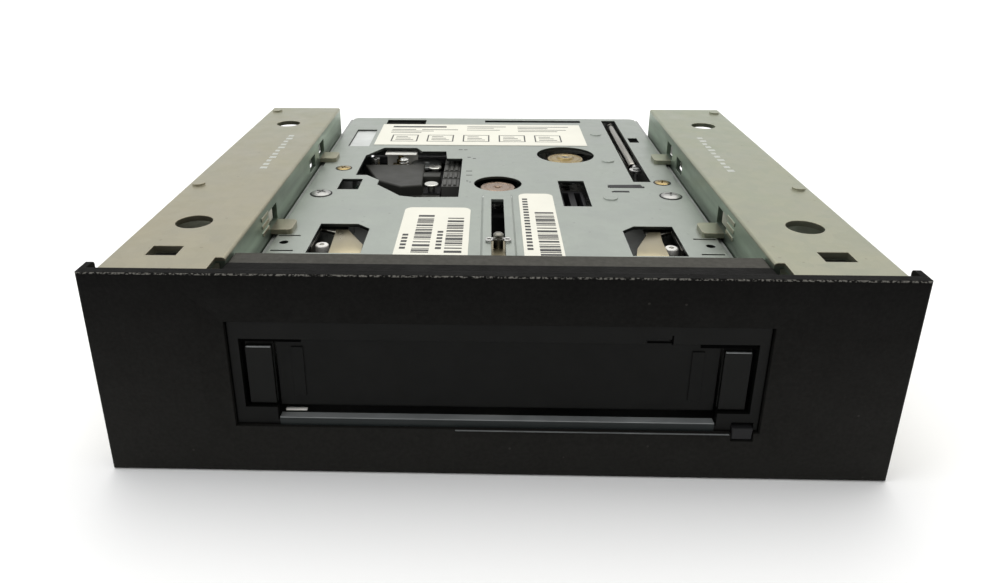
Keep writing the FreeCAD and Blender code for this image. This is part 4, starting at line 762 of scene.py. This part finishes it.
class TAPEDRIVE_OT_stage(bpy.types.Operator):
    """Lay the pale floor, the soft lights and the camera"""

    bl_idname = "tapedrive.stage"
    bl_label = "Stage"

    def execute(self, context):
        tree, shader = new_finish("Stage floor", specular=0.1)
        pale = context.scene.tape_drive_colours.floor
        tone = blend_colour(tree, place_group(tree, "Mottle", Scale=3.0), pale, shade_of(pale, 1.03))
        tree.links.new(tone, shader.inputs["Base Color"])
        shader.inputs["Roughness"].default_value = 0.95
        bpy.ops.object.select_all(action="DESELECT")
        bpy.ops.mesh.primitive_plane_add(size=FLOOR_WIDTH, location=(0, 0, cad_box[0][2] - 0.1 * MM))
        floor = settle(context.object)
        floor.name = "Floor"
        floor.data.materials.append(bpy.data.materials["Stage floor"])
        for name, (place, turn, size, power, glow) in LIGHTS.items():
            lamp = bpy.data.lights.new(name, "AREA")
            lamp.size = size
            lamp.energy = power
            lamp.color = glow
            holder = bpy.data.objects.new(name, lamp)
            holder.location = place
            holder.rotation_euler = turn
            context.scene.collection.objects.link(holder)
        world = bpy.data.worlds.new("Soft room")
        world.use_nodes = True
        sky = world.node_tree
        parts = place_parts(sky, add_node(sky, "TexCoord").outputs["Generated"])
        glow = ramp(sky, parts["Y"], -0.5, 0.6, 0.50, 1.0, interpolation_type="SMOOTHSTEP")
        sky.links.new(glow, sky.nodes["Background"].inputs["Strength"])
        sky.nodes["Background"].inputs["Color"].default_value = (1.0, 1.0, 1.0, 1.0)
        context.scene.world = world
        lens = bpy.data.cameras.new("Camera")
        for name, value in CAMERA_LENS.items():
            setattr(lens, name, value)
        camera = bpy.data.objects.new("Camera", lens)
        camera.location = CAMERA_PLACE
        camera.rotation_euler = CAMERA_TURN
        context.scene.collection.objects.link(camera)
        context.scene.camera = camera
        context.scene.view_settings.view_transform = "Standard"
        return {"FINISHED"}


# The print on the labels, in millimetres: bar columns and dash columns by left, right, start and end.
BAR_WIDTHS = (0.5, 0.9, 0.35, 1.2, 0.6, 0.35, 0.9, 0.5, 1.3, 0.4, 0.7, 0.35, 1.0, 0.55)
BAR_COLUMNS = ((-18.3, -14.5, 31.0, 56.0), (-11.2, -7.4, 31.0, 53.0), (9.5, 14.0, 30.0, 57.5))
DASH_COLUMNS = ((-21.0, -19.7, 33.0, 41.0), (-13.2, -11.9, 33.0, 44.0), (6.8, 8.1, 33.0, 66.0))
DASH, DASH_STEP = 1.1, 1.9
RULES = (
    (-34, 138.2, -16, 140.0), (-34, 135.0, -26, 135.6), (-24, 135.0, -12, 135.6), (-34, 133.2, -20, 133.7),
    (-34, 131.4, -24, 131.9), (-9, 139.2, 4, 139.8), (-9, 137.4, 0, 137.9), (8, 139.2, 25, 139.8),
    (8, 137.2, 18, 137.8), (8, 135.2, 24, 135.7), (8, 133.3, 21, 133.8), (-9, 134.8, 2, 135.3),
)
FRAME_LEFTS = (-33.0, -21.5, -10.0, 1.5, 13.0)
FRAME_WIDTH, FRAME_START, FRAME_END, FRAME_LINE = 8.5, 120.5, 128.5, 0.4


class TAPEDRIVE_OT_label_print(bpy.types.Operator):
    """Lay plain bars and rules on the labels in place of their print"""

    bl_idname = "tapedrive.label_print"
    bl_label = "Label print"

    def execute(self, context):
        bars = []
        for start, (left, right, low, high) in enumerate(BAR_COLUMNS):
            y, i = low, start * 3
            while y < high - 1.4:
                thick = BAR_WIDTHS[i % len(BAR_WIDTHS)]
                bars.append((left, y, right, y + thick))
                y += thick + BAR_WIDTHS[(i * 5 + 2) % len(BAR_WIDTHS)] * 0.9
                i += 1
        for left, right, low, high in DASH_COLUMNS:
            y = low
            while y < high:
                bars.append((left, y, right, y + DASH))
                y += DASH_STEP
        bars.extend(RULES)
        low, high, line = FRAME_START, FRAME_END, FRAME_LINE
        for left in FRAME_LEFTS:
            right = left + FRAME_WIDTH
            bars.append((left, low, right, low + line))
            bars.append((left, high - line, right, high))
            bars.append((left, low + line, left + line, high - line))
            bars.append((right - line, low + line, right, high - line))
            for step in range(3):
                y = low + 1.8 + DASH_STEP * step
                bars.append((left + 1.4, y, right - 1.4 - step, y + 0.5))
        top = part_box("front_labels")[1][2] / MM
        rise = context.scene.tape_drive_sizes.print_rise / MM
        lay("label_print", "Label ink",
            [((x0, y0, top - rise), (x1, y1, top + rise)) for x0, y0, x1, y1 in bars])
        return {"FINISHED"}


# Seats of the screws in millimetres: across and behind the front.
COVER_SEATS = ((-45, 69.4), (45, 69.4))
ADJUSTING_SEATS = ((45, 80.4), (-42.9, 91.7))
BRACKET_SEATS = (52.0, 112.0)
RING_WALL, RING_RISE = 0.5, 0.05


def cross_screw(head, height, shank, reach, depth):
    """A screw with a cross recess that hangs down from its seat at the origin, in metres."""
    point = 0.4 * MM
    piece = turned("screw_model", [
        (0, height), (head * 0.5, height * 0.93), (head * 0.82, height * 0.66), (head, height * 0.25),
        (head, 0), (shank, 0), (shank, -reach + point), (shank - point, -reach), (0, -reach),
    ], steps=32)
    corner = (head * 0.58, head * 0.10)
    slots = []
    for turn in (0, math.pi / 2):
        tool = slab("slot", (-corner[0], -corner[1], height - depth), (*corner, height + MM))
        slots.append(put(tool, "slot", (0, 0, 0), (0, 0, turn + math.pi / 7)))
    for tool in slots:
        carve = piece.modifiers.new("Recess", "BOOLEAN")
        carve.operation = "DIFFERENCE"
        carve.solver = "EXACT"
        carve.object = tool
    apply_modifiers(piece)
    for tool in slots:
        bpy.data.objects.remove(tool, do_unlink=True)
    select_only(piece)
    bpy.ops.object.shade_smooth_by_angle(angle=SMOOTH_ANGLE)
    return piece


def seat_screws(model, node, seats, turn, finish):
    """Puts a copy of a screw on every seat, turned by its place, instead of the node's own screws."""
    name = node[:-1] + "_heads"
    copies = [copy_to(model, name + "_%d" % i, seat, turn(seat)) for i, seat in enumerate(seats)]
    bpy.data.objects.remove(model, do_unlink=True)
    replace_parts(dress(join(copies, name), finish), node)


def upright(seat):
    """The turn of an upright screw, which differs from seat to seat."""
    return 0.0, 0.0, seat[0] * 20


def outward(seat):
    """The turn of a screw whose head points away from the middle plane."""
    return 0.0, math.copysign(math.pi / 2, seat[0]), 0.0


class TAPEDRIVE_OT_screws(bpy.types.Operator):
    """Replace the plain screws by ones with domed heads and cross recesses"""

    bl_idname = "tapedrive.screws"
    bl_label = "Screws"

    def execute(self, context):
        depth = context.scene.tape_drive_sizes.screw_recess
        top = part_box("rear_label")[0][2] / MM
        cover = [spot(x, y, top) for x, y in COVER_SEATS]
        seat_screws(cross_screw(0.0025, 0.0007, 0.0014, 0.005, depth), "cover_screws", cover, upright,
                    "Screw plate")
        small = [spot(x, y, top) for x, y in ADJUSTING_SEATS]
        seat_screws(cross_screw(0.0020, 0.0004, 0.0014, 0.005, depth), "adjusting_screws", small, upright,
                    "Brass")
        # Thin black rings just outside each screw head stand in for the shaded edge of its dimple: painted
        # shade.
        rings = []
        for seats, radius in ((COVER_SEATS, 2.9), (ADJUSTING_SEATS, 2.35)):
            inner = radius - RING_WALL
            outline = rectangle(radius, top, inner, top + RING_RISE)
            section = [outline[0], *reversed(outline)]
            rings.extend(turned_at("ring", x, y, section, steps=36) for x, y in seats)
        dress(join(rings, "screw_seat_shades"), "Package plastic")
        low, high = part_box("bracket_screws")
        level = (low[2] + high[2]) / 2
        sides = [(side * (high[0] - MM), near_y(y), level) for side in (-1, 1) for y in BRACKET_SEATS]
        seat_screws(cross_screw(0.0027, 0.001, 0.00144, 0.0030, depth), "bracket_screws", sides, outward,
                    "Screw plate")
        return {"FINISHED"}


class TAPEDRIVE_OT_springs(bpy.types.Operator):
    """Wind the lever springs and the slider's spring from wire"""

    bl_idname = "tapedrive.springs"
    bl_label = "Springs"

    def execute(self, context):
        wire = context.scene.tape_drive_sizes.spring_wire
        low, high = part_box("lever_springs")
        turns = 2
        pitch = (high[2] - low[2] - 2 * wire) / turns
        pieces = []
        for side in (-1, 1):
            spring = coil("lever_spring", 1.95 * MM, wire, pitch, turns)
            pieces.append(put(spring, "lever_spring", (side * 33.2 * MM, near_y(26.0), low[2] + wire)))
        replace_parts(dress(join(pieces, "lever_coils"), "Spring steel"), "lever_springs")
        low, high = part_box("slider_spring")
        turns = 16
        pitch = (high[1] - low[1] - 0.3 * MM) / turns
        spring = coil("slider_wire", 0.62 * MM, 0.13 * MM, pitch, turns, steps=14)
        middle = ((low[0] + high[0]) / 2, low[1] + 0.15 * MM, (low[2] + high[2]) / 2)
        piece = put(spring, "slider_coil", middle, (-math.pi / 2, 0, 0))
        paint(piece, "Spring steel")
        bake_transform(piece)
        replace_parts(piece, "slider_spring")
        return {"FINISHED"}


# Outlines of the latch levers' raised plates, in millimetres across and behind the front.
LEVER_TOPS = {
    "left": [(-36.4, 33.0), (-37.1, 46.9), (-34.3, 46.9), (-29.5, 37.9), (-29.3, 33.0)],
    "right": [(30.2, 33.0), (31.0, 37.0), (35.2, 46.9), (38.0, 46.9), (37.4, 41.0), (37.3, 33.0)],
}
LEVER_ROOT = rectangle(30.0, 22.8, 36.4, 34.0)
ARM_BRIDGE = [(34.6, 46.0), (37.3, 46.0), (41.9, 48.8), (41.9, 50.8), (34.6, 49.6)]


class TAPEDRIVE_OT_latches(bpy.types.Operator):
    """Top the latch levers with their raised plates and make their rollers as chromed ones, whose pale,
    streaked colour is a painted reflection
    """

    bl_idname = "tapedrive.latches"
    bl_label = "Latches"

    def execute(self, context):
        for side, mark in ((-1, "left"), (1, "right")):
            lever = "lever_" + mark
            plates = [
                plate("top", LEVER_TOPS[mark], 31.2, 31.98, 0.12),
                plate("root", [(side * x, y) for x, y in LEVER_ROOT], 30.8, 31.3, 0.1),
            ]
            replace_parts(dress(join(plates, "lever_plate_" + mark), "Lever plate", lever),
                        "latch_lever_" + mark)
            inner, outer = on_side(side, 37.8, 41.9)
            inset, edge = on_side(side, 40.9, 41.9)
            arms = [
                block("shoe", (inner, 37.2, 22.4), (outer, 41.2, 23.2), 0.1),
                block("post", (inset, 37.2, 22.4), (edge, 41.2, 31.2), 0.1),
                block("arm", (inset, 37.2, 30.8), (edge, 50.0, 31.6), 0.1),
                plate("bridge", [(side * x, y) for x, y in ARM_BRIDGE], 30.8, 31.6, 0.1),
            ]
            dress(join(arms, "lever_arm_" + mark), "Dark steel", lever)
            node = "latch_roller_" + mark
            low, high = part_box(node)
            radius, bottom, height = (high[0] - low[0]) / 2 / MM, low[2] / MM, high[2] / MM
            roller = turned_at(node + "_body", *middle_of(node), [
                (0.56, bottom), (radius - 0.15, bottom), (radius, bottom + 0.15), (radius, height - 1.9),
                (radius - 0.12, height - 1.75), (radius - 0.12, height - 1.5), (radius, height - 1.35),
                (radius, height - 0.2), (radius - 0.2, height), (0.56, height), (0.56, bottom),
            ])
            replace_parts(dress(roller, "Roller painted sheen", "roller_" + mark), node)
            axle = turned_at("roller_axle_" + mark, side * 39.0, 39.2, [
                (0, height - 0.6), (0.5, height - 0.6), (0.5, height + 0.02), (0.35, height + 0.12),
                (0, height + 0.12),
            ], steps=24)
            dress(axle, "Dark steel", lever)
        return {"FINISHED"}


PAD_SECTION = (
    (0, 27.3), (1.0, 27.3), (1.1, 28.9), (1.85, 29.0), (2.0, 29.15), (2.0, 29.45), (1.8, 29.6), (0, 29.6),
)
ROUND_PLATE_SECTION = (
    (0, 27.4), (4.6, 27.4), (4.8, 27.6), (4.8, 28.2), (4.6, 28.4), (1.2, 28.4), (1.0, 28.0), (0, 28.0),
)
BUSH_SECTION = ((0, 24.0), (1.3, 24.0), (1.3, 29.4), (0.8, 29.6), (0.8, 30.6), (0.6, 30.8), (0, 30.8))


class TAPEDRIVE_OT_head_detail(bpy.types.Operator):
    """Add the pads, bridge, comb ridges, brass parts and round plate of the head block"""

    bl_idname = "tapedrive.head_detail"
    bl_label = "Head block detail"

    def execute(self, context):
        tray = plate("pad_tray", rectangle(-20.0, 86.6, -15.4, 107.4), 27.0, 27.3)
        dress(tray, "Package plastic", "carriage")
        pads = [turned_at("pad", -17.8, y, PAD_SECTION, steps=36) for y in (88.8, 105.0)]
        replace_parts(dress(join(pads, "pad_caps"), "Pad silver", "carriage"), "head_pads")
        bridge = plate("pad_bridge", rectangle(-20.6, 94.2, -15.6, 98.2), 27.2, 29.9, 0.2)
        dress(bridge, "Head plastic", "carriage")
        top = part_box("connector_comb")[1][2] / MM
        ridges = [
            ((x, start, top - 0.1), (x + 0.9, start + 5.0, top + 0.35))
            for start in (84.4, 91.2, 98.0, 104.8) for x in (-14.3, -12.9, -11.5)
        ]
        lay("comb_ridges", "Comb plastic", ridges, 0.15)
        dress(turned_at("round_plate", -21.0, 112.6, ROUND_PLATE_SECTION), "Casting")
        brass = [
            turned_at("bush", -28.9, 112.6, BUSH_SECTION, steps=28),
            block("block", (-31.4, 111.4, 25.5), (-27.4, 113.8, 28.2), 0.3),
        ]
        dress(join(brass, "brass_bush"), "Brass")
        return {"FINISHED"}


MOTOR_DISC_SECTION = (
    (0, 29.8), (5.3, 29.8), (5.3, 31.7), (5.15, 31.85), (4.6, 31.9), (4.5, 31.78), (4.3, 31.78), (4.2, 31.9),
    (2.6, 31.95), (2.4, 32.2), (2.1, 32.45), (1.5, 32.5), (1.1, 32.3), (1.0, 31.9), (0, 31.9),
)
DISC_CENTRE_SECTION = (
    (0, 31.9), (1.05, 31.9), (1.05, 32.32), (0.7, 32.34), (0.6, 32.1), (0.35, 32.1), (0.25, 32.45), (0, 32.5),
)
CAPSTAN_CAP_SECTION = (
    (0, 31.2), (4.75, 31.2), (4.75, 31.8), (4.5, 32.02), (3.6, 32.08), (3.5, 31.98), (3.3, 31.98),
    (3.2, 32.08), (1.3, 32.1), (1.2, 31.95), (0.8, 31.95), (0.7, 32.3), (0.4, 32.4), (0, 32.4),
)


class TAPEDRIVE_OT_discs(bpy.types.Operator):
    """Turn the motor's brass disc and the capstan's coppery cap with their rings and centres"""

    bl_idname = "tapedrive.discs"
    bl_label = "Discs"

    def execute(self, context):
        axis = middle_of("motor_disc")
        disc = turned_at("motor_disc_rings", *axis, MOTOR_DISC_SECTION, steps=64)
        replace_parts(dress(disc, "Brass", "motor"), "motor_disc")
        centre = turned_at("motor_disc_centre", *axis, DISC_CENTRE_SECTION, steps=28)
        dress(centre, "Dark steel", "motor")
        cap = turned_at("capstan_cap_rings", *middle_of("capstan_cap"), CAPSTAN_CAP_SECTION, steps=64)
        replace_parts(dress(cap, "Copper", "capstan"), "capstan_cap")
        return {"FINISHED"}


PIN_PLACE = 37.1
EAR_RADIUS, EAR_WIRE, EAR_OFFSET, EAR_HEIGHT = 0.72, 0.24, 1.95, 34.0


class TAPEDRIVE_OT_clip(bpy.types.Operator):
    """Bend the spring clip with its two curled ears and dome the pin that it holds"""

    bl_idname = "tapedrive.clip"
    bl_label = "Clip and pin"

    def execute(self, context):
        x, y = middle_of("slider_clip")[0], PIN_PLACE
        parts = []
        for side in (-1, 1):
            bpy.ops.mesh.primitive_torus_add(
                major_radius=EAR_RADIUS * MM, minor_radius=EAR_WIRE * MM,
                major_segments=28, minor_segments=10,
                location=spot(x + side * EAR_OFFSET, y - 0.5, EAR_HEIGHT),
            )
            parts.append(settle(bpy.context.object))
            bpy.ops.object.shade_smooth()
        parts.append(plate("band", rectangle(x - 1.5, y - 0.7, x + 1.5, y + 0.5), 33.8, 34.15, 0.1))
        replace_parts(dress(join(parts, "clip_ears"), "Spring steel", "slider"), "slider_clip")
        low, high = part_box("slider_pin")
        bottom, top = low[2] / MM, high[2] / MM
        pin = turned_at("slider_pin_dome", x, y, [
            (0, bottom), (1.1, bottom), (1.1, 34.2), (0.7, 34.3), (0.7, 34.5), (1.1, 34.6), (1.1, top - 0.4),
            (0.8, top - 0.12), (0.4, top - 0.02), (0, top),
        ], steps=36)
        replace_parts(dress(pin, "Dark steel", "slider"), "slider_pin")
        return {"FINISHED"}


THREAD_WIRE, THREAD_TURNS = 0.15, 14


class TAPEDRIVE_OT_thread(bpy.types.Operator):
    """Wind the thread round the lead screw"""

    bl_idname = "tapedrive.thread"
    bl_label = "Lead screw thread"

    def execute(self, context):
        low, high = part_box("lead_screw")
        axis = middle_of("lead_screw")
        bottom, top = low[2] / MM, high[2] / MM
        radius = (high[0] - low[0]) / 2 - 0.16 * MM
        pitch = (high[2] - low[2] - 0.6 * MM) / THREAD_TURNS
        thread = coil("thread", radius, THREAD_WIRE * MM, pitch, THREAD_TURNS, steps=20)
        thread = put(thread, "thread", spot(*axis, bottom + 0.3))
        core = turned_at("core", *axis, [
            (0, bottom), (1.2, bottom), (1.2, top - 0.3), (0.9, top), (0, top),
        ], steps=28)
        whole = join([thread, core], "lead_screw_thread")
        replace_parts(dress(whole, "Ground steel", "screw"), "lead_screw")
        return {"FINISHED"}


# The closing springs: where each starts and ends from the middle, wire and pitch, in millimetres.
COIL_SPANS = ((9.2, 13.8), (47.0, 48.1))
COIL_WIRE, COIL_PITCH = 0.17, 0.42


class TAPEDRIVE_OT_door_coils(bpy.types.Operator):
    """Wind the closing springs on the hinge rod"""

    bl_idname = "tapedrive.door_coils"
    bl_label = "Door springs"

    def execute(self, context):
        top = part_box("door_springs")[1][2] - 0.02 * MM
        low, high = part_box("hinge_rod")
        y, z = (low[1] + high[1]) / 2, (low[2] + high[2]) / 2
        radius = (high[2] - low[2]) / 2 + 0.22 * MM
        wire = COIL_WIRE * MM
        pieces = []
        for side in (-1, 1):
            for start, end in COIL_SPANS:
                turns = max(2, round((end - start) / COIL_PITCH))
                spring = coil("door_spring", radius, wire, (end - start) * MM / turns, turns, steps=18)
                place = (side * start * MM, y, z)
                pieces.append(put(spring, "door_spring", place, (0, side * math.pi / 2, 0)))
                inner, outer = on_side(side, start * MM, (start + 2 * COIL_WIRE) * MM)
                leg = ((inner, y + radius - wire, z), (outer, y + radius + wire, top))
                pieces.append(slab("leg", *leg, 0.1 * MM))
        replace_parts(dress(join(pieces, "door_coils"), "Spring steel"), "door_springs")
        return {"FINISHED"}


# Blocks of the trim as pairs of corners, in millimetres across, behind the front and up.
SILL_FRONT = ((-40.9, 1.36, 9.9), (40.9, 1.44, 11.4))
DETECTOR_FOOT = ((-40.2, 3.3, 11.75), (-36.1, 4.0, 12.15))
# A pale strip along the lower lip of the bezel's window: painted highlight.
WINDOW_LIP_HIGHLIGHT = ((-7.6, 0.15, 9.9), (43.6, 0.5, 9.93))
# Black slabs in the gaps above the door's ends and the flaps and in the key slot: painted shadow.
FRONT_GAP_SHADOWS = (
    ((36.8, 1.95, 27.35), (47.1, 2.05, 28.3)), ((-47.1, 1.95, 27.55), (-35.8, 2.05, 28.3)),
    ((27.0, 1.34, 28.6), (31.5, 1.42, 29.0)), ((31.4, 1.34, 28.3), (31.7, 1.42, 30.1)),
)
RECESS_FLOOR = ((-45.4, 115.2, 32.5), (-39.2, 135.4, 32.56))
COVER_MARKS = (
    (-10.9, 111.3, 1.2), (-9.2, 111.3, 1.0), (-8.0, 103.2, 1.0), (-6.4, 102.0, 0.9), (-8.0, 89.5, 1.7),
    (-7.9, 85.7, 1.7), (-7.7, 80.5, 0.5), (-6.9, 79.6, 0.5),
)
# Black plates laid over the cover's slots: painted shade inside the openings.
COVER_SLOT_SHADES = (
    [(30.4, 75.8), (39.4, 75.8), (38.8, 78.6), (30.0, 78.2)],
    [(31.0, 72.4), (35.0, 72.2), (35.0, 73.4), (31.0, 73.4)],
)
SLEEVE_SECTION = (
    (1.0, 0.0), (1.45, 0.0), (1.45, 1.2), (1.3, 1.3), (1.3, 1.7), (1.45, 1.8), (1.45, 47.8), (1.2, 48.4),
    (1.0, 48.4), (1.0, 0.0),
)
SLEEVE_PLACE = (40.7, 150.2, 30.6)
# Dark plates inside and beside the brackets that hide the pale background seen through their holes: painted
# shade.
SHADE_PLATE_SPANS = ((24.0, 46.0), (88.0, 116.0))
STAMP_START, STAMP_STEP, STAMP_COUNT, STAMP_MIDDLE = 66.0, 3.1, 11, 58.6
PRINT = 0.02


class TAPEDRIVE_OT_trim(bpy.types.Operator):
    """Add the front's ledge with its painted highlights and the painted shadow in its gaps, the cover's
    marks, the painted shade in its slots and the painted highlight on its step, and the brackets' painted
    shade plates and stamps
    """

    bl_idname = "tapedrive.trim"
    bl_label = "Small trim"

    def execute(self, context):
        # Painted highlight: a pale strip for the lit top face of the sill.
        ledge = plate("sill_ledge_highlight", rectangle(-40.9, 1.45, 40.9, 3.1), 11.35, 11.6)
        dress(ledge, "Highlight plastic")
        lay("sill_front", "Sill plastic", [SILL_FRONT])
        for mark in ("left", "right"):
            # Painted highlight: a pale line along each flap's top edge.
            low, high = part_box("side_flap_" + mark)
            line = slab("flap_top_highlight_" + mark, (low[0] + 0.3 * MM, low[1], 26.2 * MM),
                        (high[0] - 0.3 * MM, low[1] + 0.4 * MM, 26.45 * MM), 0.08 * MM)
            dress(line, "Highlight plastic", "flap_" + mark)
        lay("detector_foot", "White nylon", [DETECTOR_FOOT], 0.1)
        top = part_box("rear_label")[0][2] / MM
        lay("cover_marks", "Label ink",
            [((x, y, top), (x + wide, y + 0.5, top + PRINT)) for x, y, wide in COVER_MARKS])
        # Painted highlight on the lower lip of the bezel's window.
        lay("window_lip_highlight", "Highlight plastic", [WINDOW_LIP_HIGHLIGHT])
        # Painted shadow in the front's gaps.
        lay("front_gap_shadows", "Painted shadow black", FRONT_GAP_SHADOWS)
        # Painted highlight: a pale bar on the rear end of the cover's channel.
        step = ((-3.3, 66.3, top), (4.3, 67.2, top + 0.55))
        lay("channel_step_highlight", "Bright sheet", [step], 0.3)
        lay("recess_floor", "Bright sheet", [RECESS_FLOOR])
        # Painted shade in the cover's slots.
        slots = [plate("slot", outline, top, top + 0.03) for outline in COVER_SLOT_SHADES]
        dress(join(slots, "cover_slot_shades"), "Package plastic")
        sleeve = turned("sleeve", [(radius * MM, along * MM) for radius, along in SLEEVE_SECTION], steps=32)
        sleeve = put(sleeve, "rod_sleeve", spot(*SLEEVE_PLACE), (math.pi / 2, 0, 0))
        dress(sleeve, "Sleeve steel")
        shade_plates, stamps = [], []
        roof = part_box("bezel")[1][2] / MM - 1.3
        for side in (-1, 1):
            inner, outer = on_side(side, 53.2, 53.5)
            shade_plates.extend(((inner, start, 33.0), (outer, end, 39.2)) for start, end in SHADE_PLATE_SPANS)
            inner, outer = on_side(side, 57.5, 68.5)
            shade_plates.append(((inner, 105.0, 35.5), (outer, 119.5, 35.9)))
            left = side * STAMP_MIDDLE - 0.9
            for i in range(STAMP_COUNT):
                y = STAMP_START + i * STAMP_STEP
                stamps.append(((left, y, roof), (left + 1.8 - 0.3 * (i % 3), y + 1.7, roof + PRINT)))
        # Painted shade: dark plates behind the brackets' holes.
        lay("bracket_shade_plates", "Dark steel", shade_plates, 0.1)
        lay("bracket_stamps", "Stamped mark", stamps)
        return {"FINISHED"}


class TAPEDRIVE_PT_panel(bpy.types.Panel):
    """Lists the steps of the dressing"""

    bl_label = "Tape drive"
    bl_idname = "TAPEDRIVE_PT_panel"
    bl_space_type = "VIEW_3D"
    bl_region_type = "UI"
    bl_category = "Tape drive"

    def draw(self, context):
        for step in STEPS:
            self.layout.operator(step.bl_idname)
        for group in (context.scene.tape_drive_colours, context.scene.tape_drive_sizes):
            box = self.layout.box()
            for name in group.__annotations__:
                box.prop(group, name)


STEPS = (
    TAPEDRIVE_OT_finishes,
    TAPEDRIVE_OT_label_print,
    TAPEDRIVE_OT_screws,
    TAPEDRIVE_OT_springs,
    TAPEDRIVE_OT_latches,
    TAPEDRIVE_OT_head_detail,
    TAPEDRIVE_OT_discs,
    TAPEDRIVE_OT_clip,
    TAPEDRIVE_OT_thread,
    TAPEDRIVE_OT_door_coils,
    TAPEDRIVE_OT_trim,
    TAPEDRIVE_OT_stage,
)
CLASSES = (TapeDriveColours, TapeDriveSizes, *STEPS, TAPEDRIVE_PT_panel)


def register():
    """Registers the classes and the scene's settings."""
    for item in CLASSES:
        bpy.utils.register_class(item)
    bpy.types.Scene.tape_drive_colours = bpy.props.PointerProperty(type=TapeDriveColours)
    bpy.types.Scene.tape_drive_sizes = bpy.props.PointerProperty(type=TapeDriveSizes)


def unregister():
    """Takes the classes and settings out again."""
    del bpy.types.Scene.tape_drive_sizes
    del bpy.types.Scene.tape_drive_colours
    for item in reversed(CLASSES):
        bpy.utils.unregister_class(item)


def main():
    """Runs every step in order."""
    register()
    bpy.ops.tapedrive.finishes()
    bpy.ops.tapedrive.label_print()
    bpy.ops.tapedrive.screws()
    bpy.ops.tapedrive.springs()
    bpy.ops.tapedrive.latches()
    bpy.ops.tapedrive.head_detail()
    bpy.ops.tapedrive.discs()
    bpy.ops.tapedrive.clip()
    bpy.ops.tapedrive.thread()
    bpy.ops.tapedrive.door_coils()
    bpy.ops.tapedrive.trim()
    bpy.ops.tapedrive.stage()


if __name__ == "__main__":
    main()
